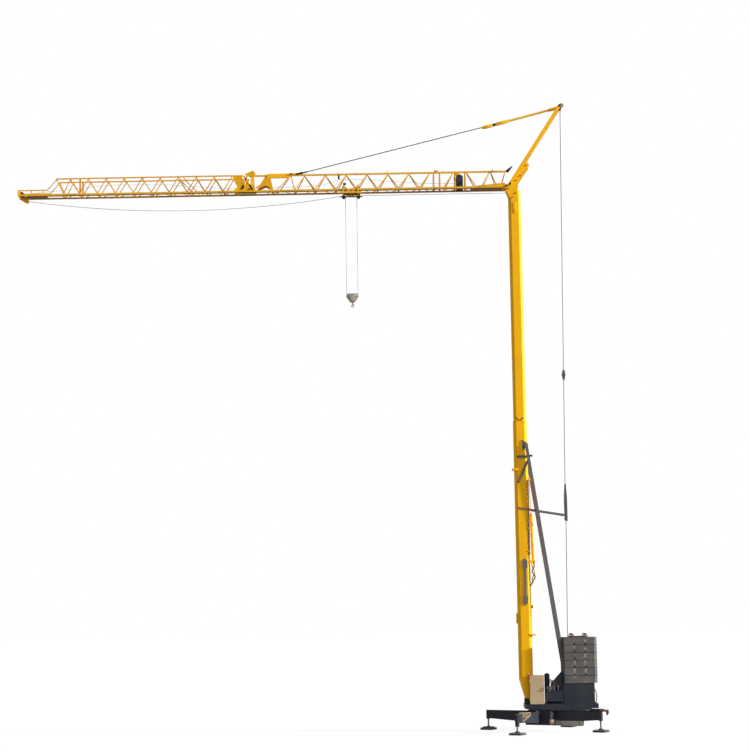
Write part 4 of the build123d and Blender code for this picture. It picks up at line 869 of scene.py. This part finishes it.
pad_half, dish_half, lip_z = 0.30, 0.22, (0.065, 0.105)
lip_places = (
    ((-pad_half, pad_half), (-pad_half, -dish_half)), ((-pad_half, pad_half), (dish_half, pad_half)),
    ((-pad_half, -dish_half), (-dish_half, dish_half)), ((dish_half, pad_half), (-dish_half, dish_half)),
)
for number, turn in enumerate(turns, start=1):
    lips = [
        arm_block("lip", (foot_radius + low, foot_radius + high), across, lip_z, 0.012, turn)
        for (low, high), across in lip_places
    ]
    fit(joined(f"pad_lips_{number}", lips), f"jack_{number}", "black_pad", pad_top)
lamp_bracket = [(2.52, 1.04), (2.95, 1.04), (2.95, 0.86), (2.86, 0.76), (2.80, 0.95), (2.52, 0.95)]
fit(plate("lamp_bracket", lamp_bracket, (-1.52, -1.42), 0.012), "undercarriage", "worn_steel", rusty)

# Trolley, hook block and hook
cross_z = 26.22
fit(joined("trolley_bars", [
    block("bar", (trolley_x - 0.40, trolley_x + 0.44), y, (cross_z, cross_z + 0.05))
    for y in both((0.11, 0.135))
]), "trolley", "dark_fitting")
fit(joined("trolley_rollers", [
    rod("roller", (trolley_x + offset, -0.12, z), (trolley_x + offset, 0.12, z), 0.05, 20, 0.008)
    for offset, z in ((-0.147, 26.245), (0.239, 26.25), (0.405, 26.26))
]), "trolley", "black_paint")
tray_outline = [(-0.06, 26.24), (0.17, 26.24), (0.13, 26.195), (-0.02, 26.195)]
fit(plate("trolley_tray", [(trolley_x + x, z) for x, z in tray_outline], (-0.14, -0.136)),
    "trolley", "block_paint")
fit(block("trolley_box", (trolley_x - 0.37, trolley_x - 0.24), (-0.50, -0.47),
          (trolley_high[2] - 0.01, 26.72), 0.012), "trolley", "black_paint")
sheave_low, sheave_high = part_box("trolley_sheaves")
sheave_z = falls_high[2]
sheave_radius = (sheave_high[2] - sheave_low[2]) / 2
quarter_turn = [math.radians(15 * n) for n in range(7)]
wraps = []
for fall, axle in zip(fall_x, (sheave_low[0] + sheave_radius, sheave_high[0] - sheave_radius)):
    reach = fall - axle
    wraps.append(hose("wrap", [
        (axle + reach * math.cos(a), 0, sheave_z + abs(reach) * math.sin(a)) for a in quarter_turn
    ], rope_radius, 2))
fit(joined("sheave_rope_wraps", wraps), "trolley", "wire_rope")
cheek_y, block_z = block_high[1], block_high[2]
cheek_bolt_places = ((-0.19, -0.165), (0.19, -0.165), (-0.08, -0.39), (0.08, -0.39), (0.0, -0.06))
fit(spread(bolt("block_bolts", 0.03, 0.02), [
    ((trolley_x + x, side * cheek_y, block_z + z), (0, side, 0))
    for x, z in cheek_bolt_places for side in (-1, 1)
]), "block", "worn_steel")
weight_outline = [
    (-0.20, -0.03), (0.20, -0.03), (0.265, -0.155), (0.085, -0.41), (-0.085, -0.41), (-0.265, -0.155),
]
fit(joined("block_weights", [
    plate("weight", [(trolley_x + x, block_z + z) for x, z in weight_outline], y, 0.006)
    for y in both((cheek_y, cheek_y + 0.014))
]), "block", "block_paint")

# Floor, light and camera
floor_size, floor_bounce, floor_glow = 600, 0.2, 0.92
sky_fill = 0.40


def shown_rays(tree):
    """One for what the camera sees of floor and backdrop, straight, mirrored or through glass."""
    rays = tree.nodes.new("ShaderNodeLightPath")
    total = rays.outputs["Is Camera Ray"]
    for kind in ("Is Glossy Ray", "Is Transmission Ray"):
        add = tree.nodes.new("ShaderNodeMath")
        add.operation = "ADD"
        add.use_clamp = True
        tree.links.new(total, add.inputs[0])
        tree.links.new(rays.outputs[kind], add.inputs[1])
        total = add.outputs[0]
    return total


def sun(name, strength, width, direction):
    """A sun lamp that shines from a direction, as wide in the sky as its width in degrees."""
    light = bpy.data.lights.new(name, "SUN")
    light.energy = strength
    light.angle = math.radians(width)
    lamp = bpy.data.objects.new(name, light)
    scene.collection.objects.link(lamp)
    lamp.rotation_euler = Vector(direction).to_track_quat("Z", "Y").to_euler()


let_go()
bpy.ops.mesh.primitive_plane_add(size=floor_size)
floor = bpy.context.object
floor.name = "studio_floor"
pale, tree, shader, _ = new_finish("studio_pale")
shader.inputs["Roughness"].default_value = 0.9
glow = tree.nodes.new("ShaderNodeEmission")
seen = shown_rays(tree)
tree.links.new(ranged(tree, seen, 0.0, 1.0, floor_bounce, 1.0), shader.inputs["Base Color"])
shown = tree.nodes.new("ShaderNodeMath")
shown.operation = "MULTIPLY"
shown.inputs[1].default_value = floor_glow
tree.links.new(seen, shown.inputs[0])
layers = tree.nodes.new("ShaderNodeMixShader")
tree.links.new(shown.outputs[0], layers.inputs[0])
tree.links.new(shader.outputs[0], layers.inputs[1])
tree.links.new(glow.outputs[0], layers.inputs[2])
tree.links.new(layers.outputs[0], tree.nodes["Material Output"].inputs["Surface"])
floor.data.materials.append(pale)

world = bpy.data.worlds.new("studio")
scene.world = world
world.use_nodes = True
sky = world.node_tree
sky_light = sky.nodes["Background"]
sky_light.inputs["Color"].default_value = (1, 1, 1, 1)
white = sky.nodes.new("ShaderNodeMapRange")
white.inputs["To Min"].default_value = sky_fill
white.inputs["To Max"].default_value = 1.0
sky.links.new(shown_rays(sky), white.inputs["Value"])
sky.links.new(white.outputs["Result"], sky_light.inputs["Strength"])

sun("key", 6.3, 3, (0.935, -0.185, 0.30))
sun("front", 0.6, 50, (0.30, -0.90, 0.32))

camera = bpy.data.cameras.new("camera")
camera.sensor_width = 36
image_width = 750
focal_pixels = 1823
camera.lens = camera.sensor_width * focal_pixels / image_width
camera.clip_end = 1000
camera_object = bpy.data.objects.new("camera", camera)
scene.collection.objects.link(camera_object)
pitch, pan, roll = math.radians(90 + 7.166), math.radians(0.899), math.radians(-0.843)
camera_turn = Euler((pitch, 0, pan)).to_matrix() @ Matrix.Rotation(roll, 3, "Z")
camera_place = (-6.41, -88.39, 6.10)
camera_object.matrix_world = Matrix.Translation(camera_place) @ camera_turn.to_4x4()
scene.camera = camera_object
scene.view_settings.view_transform = "Standard"
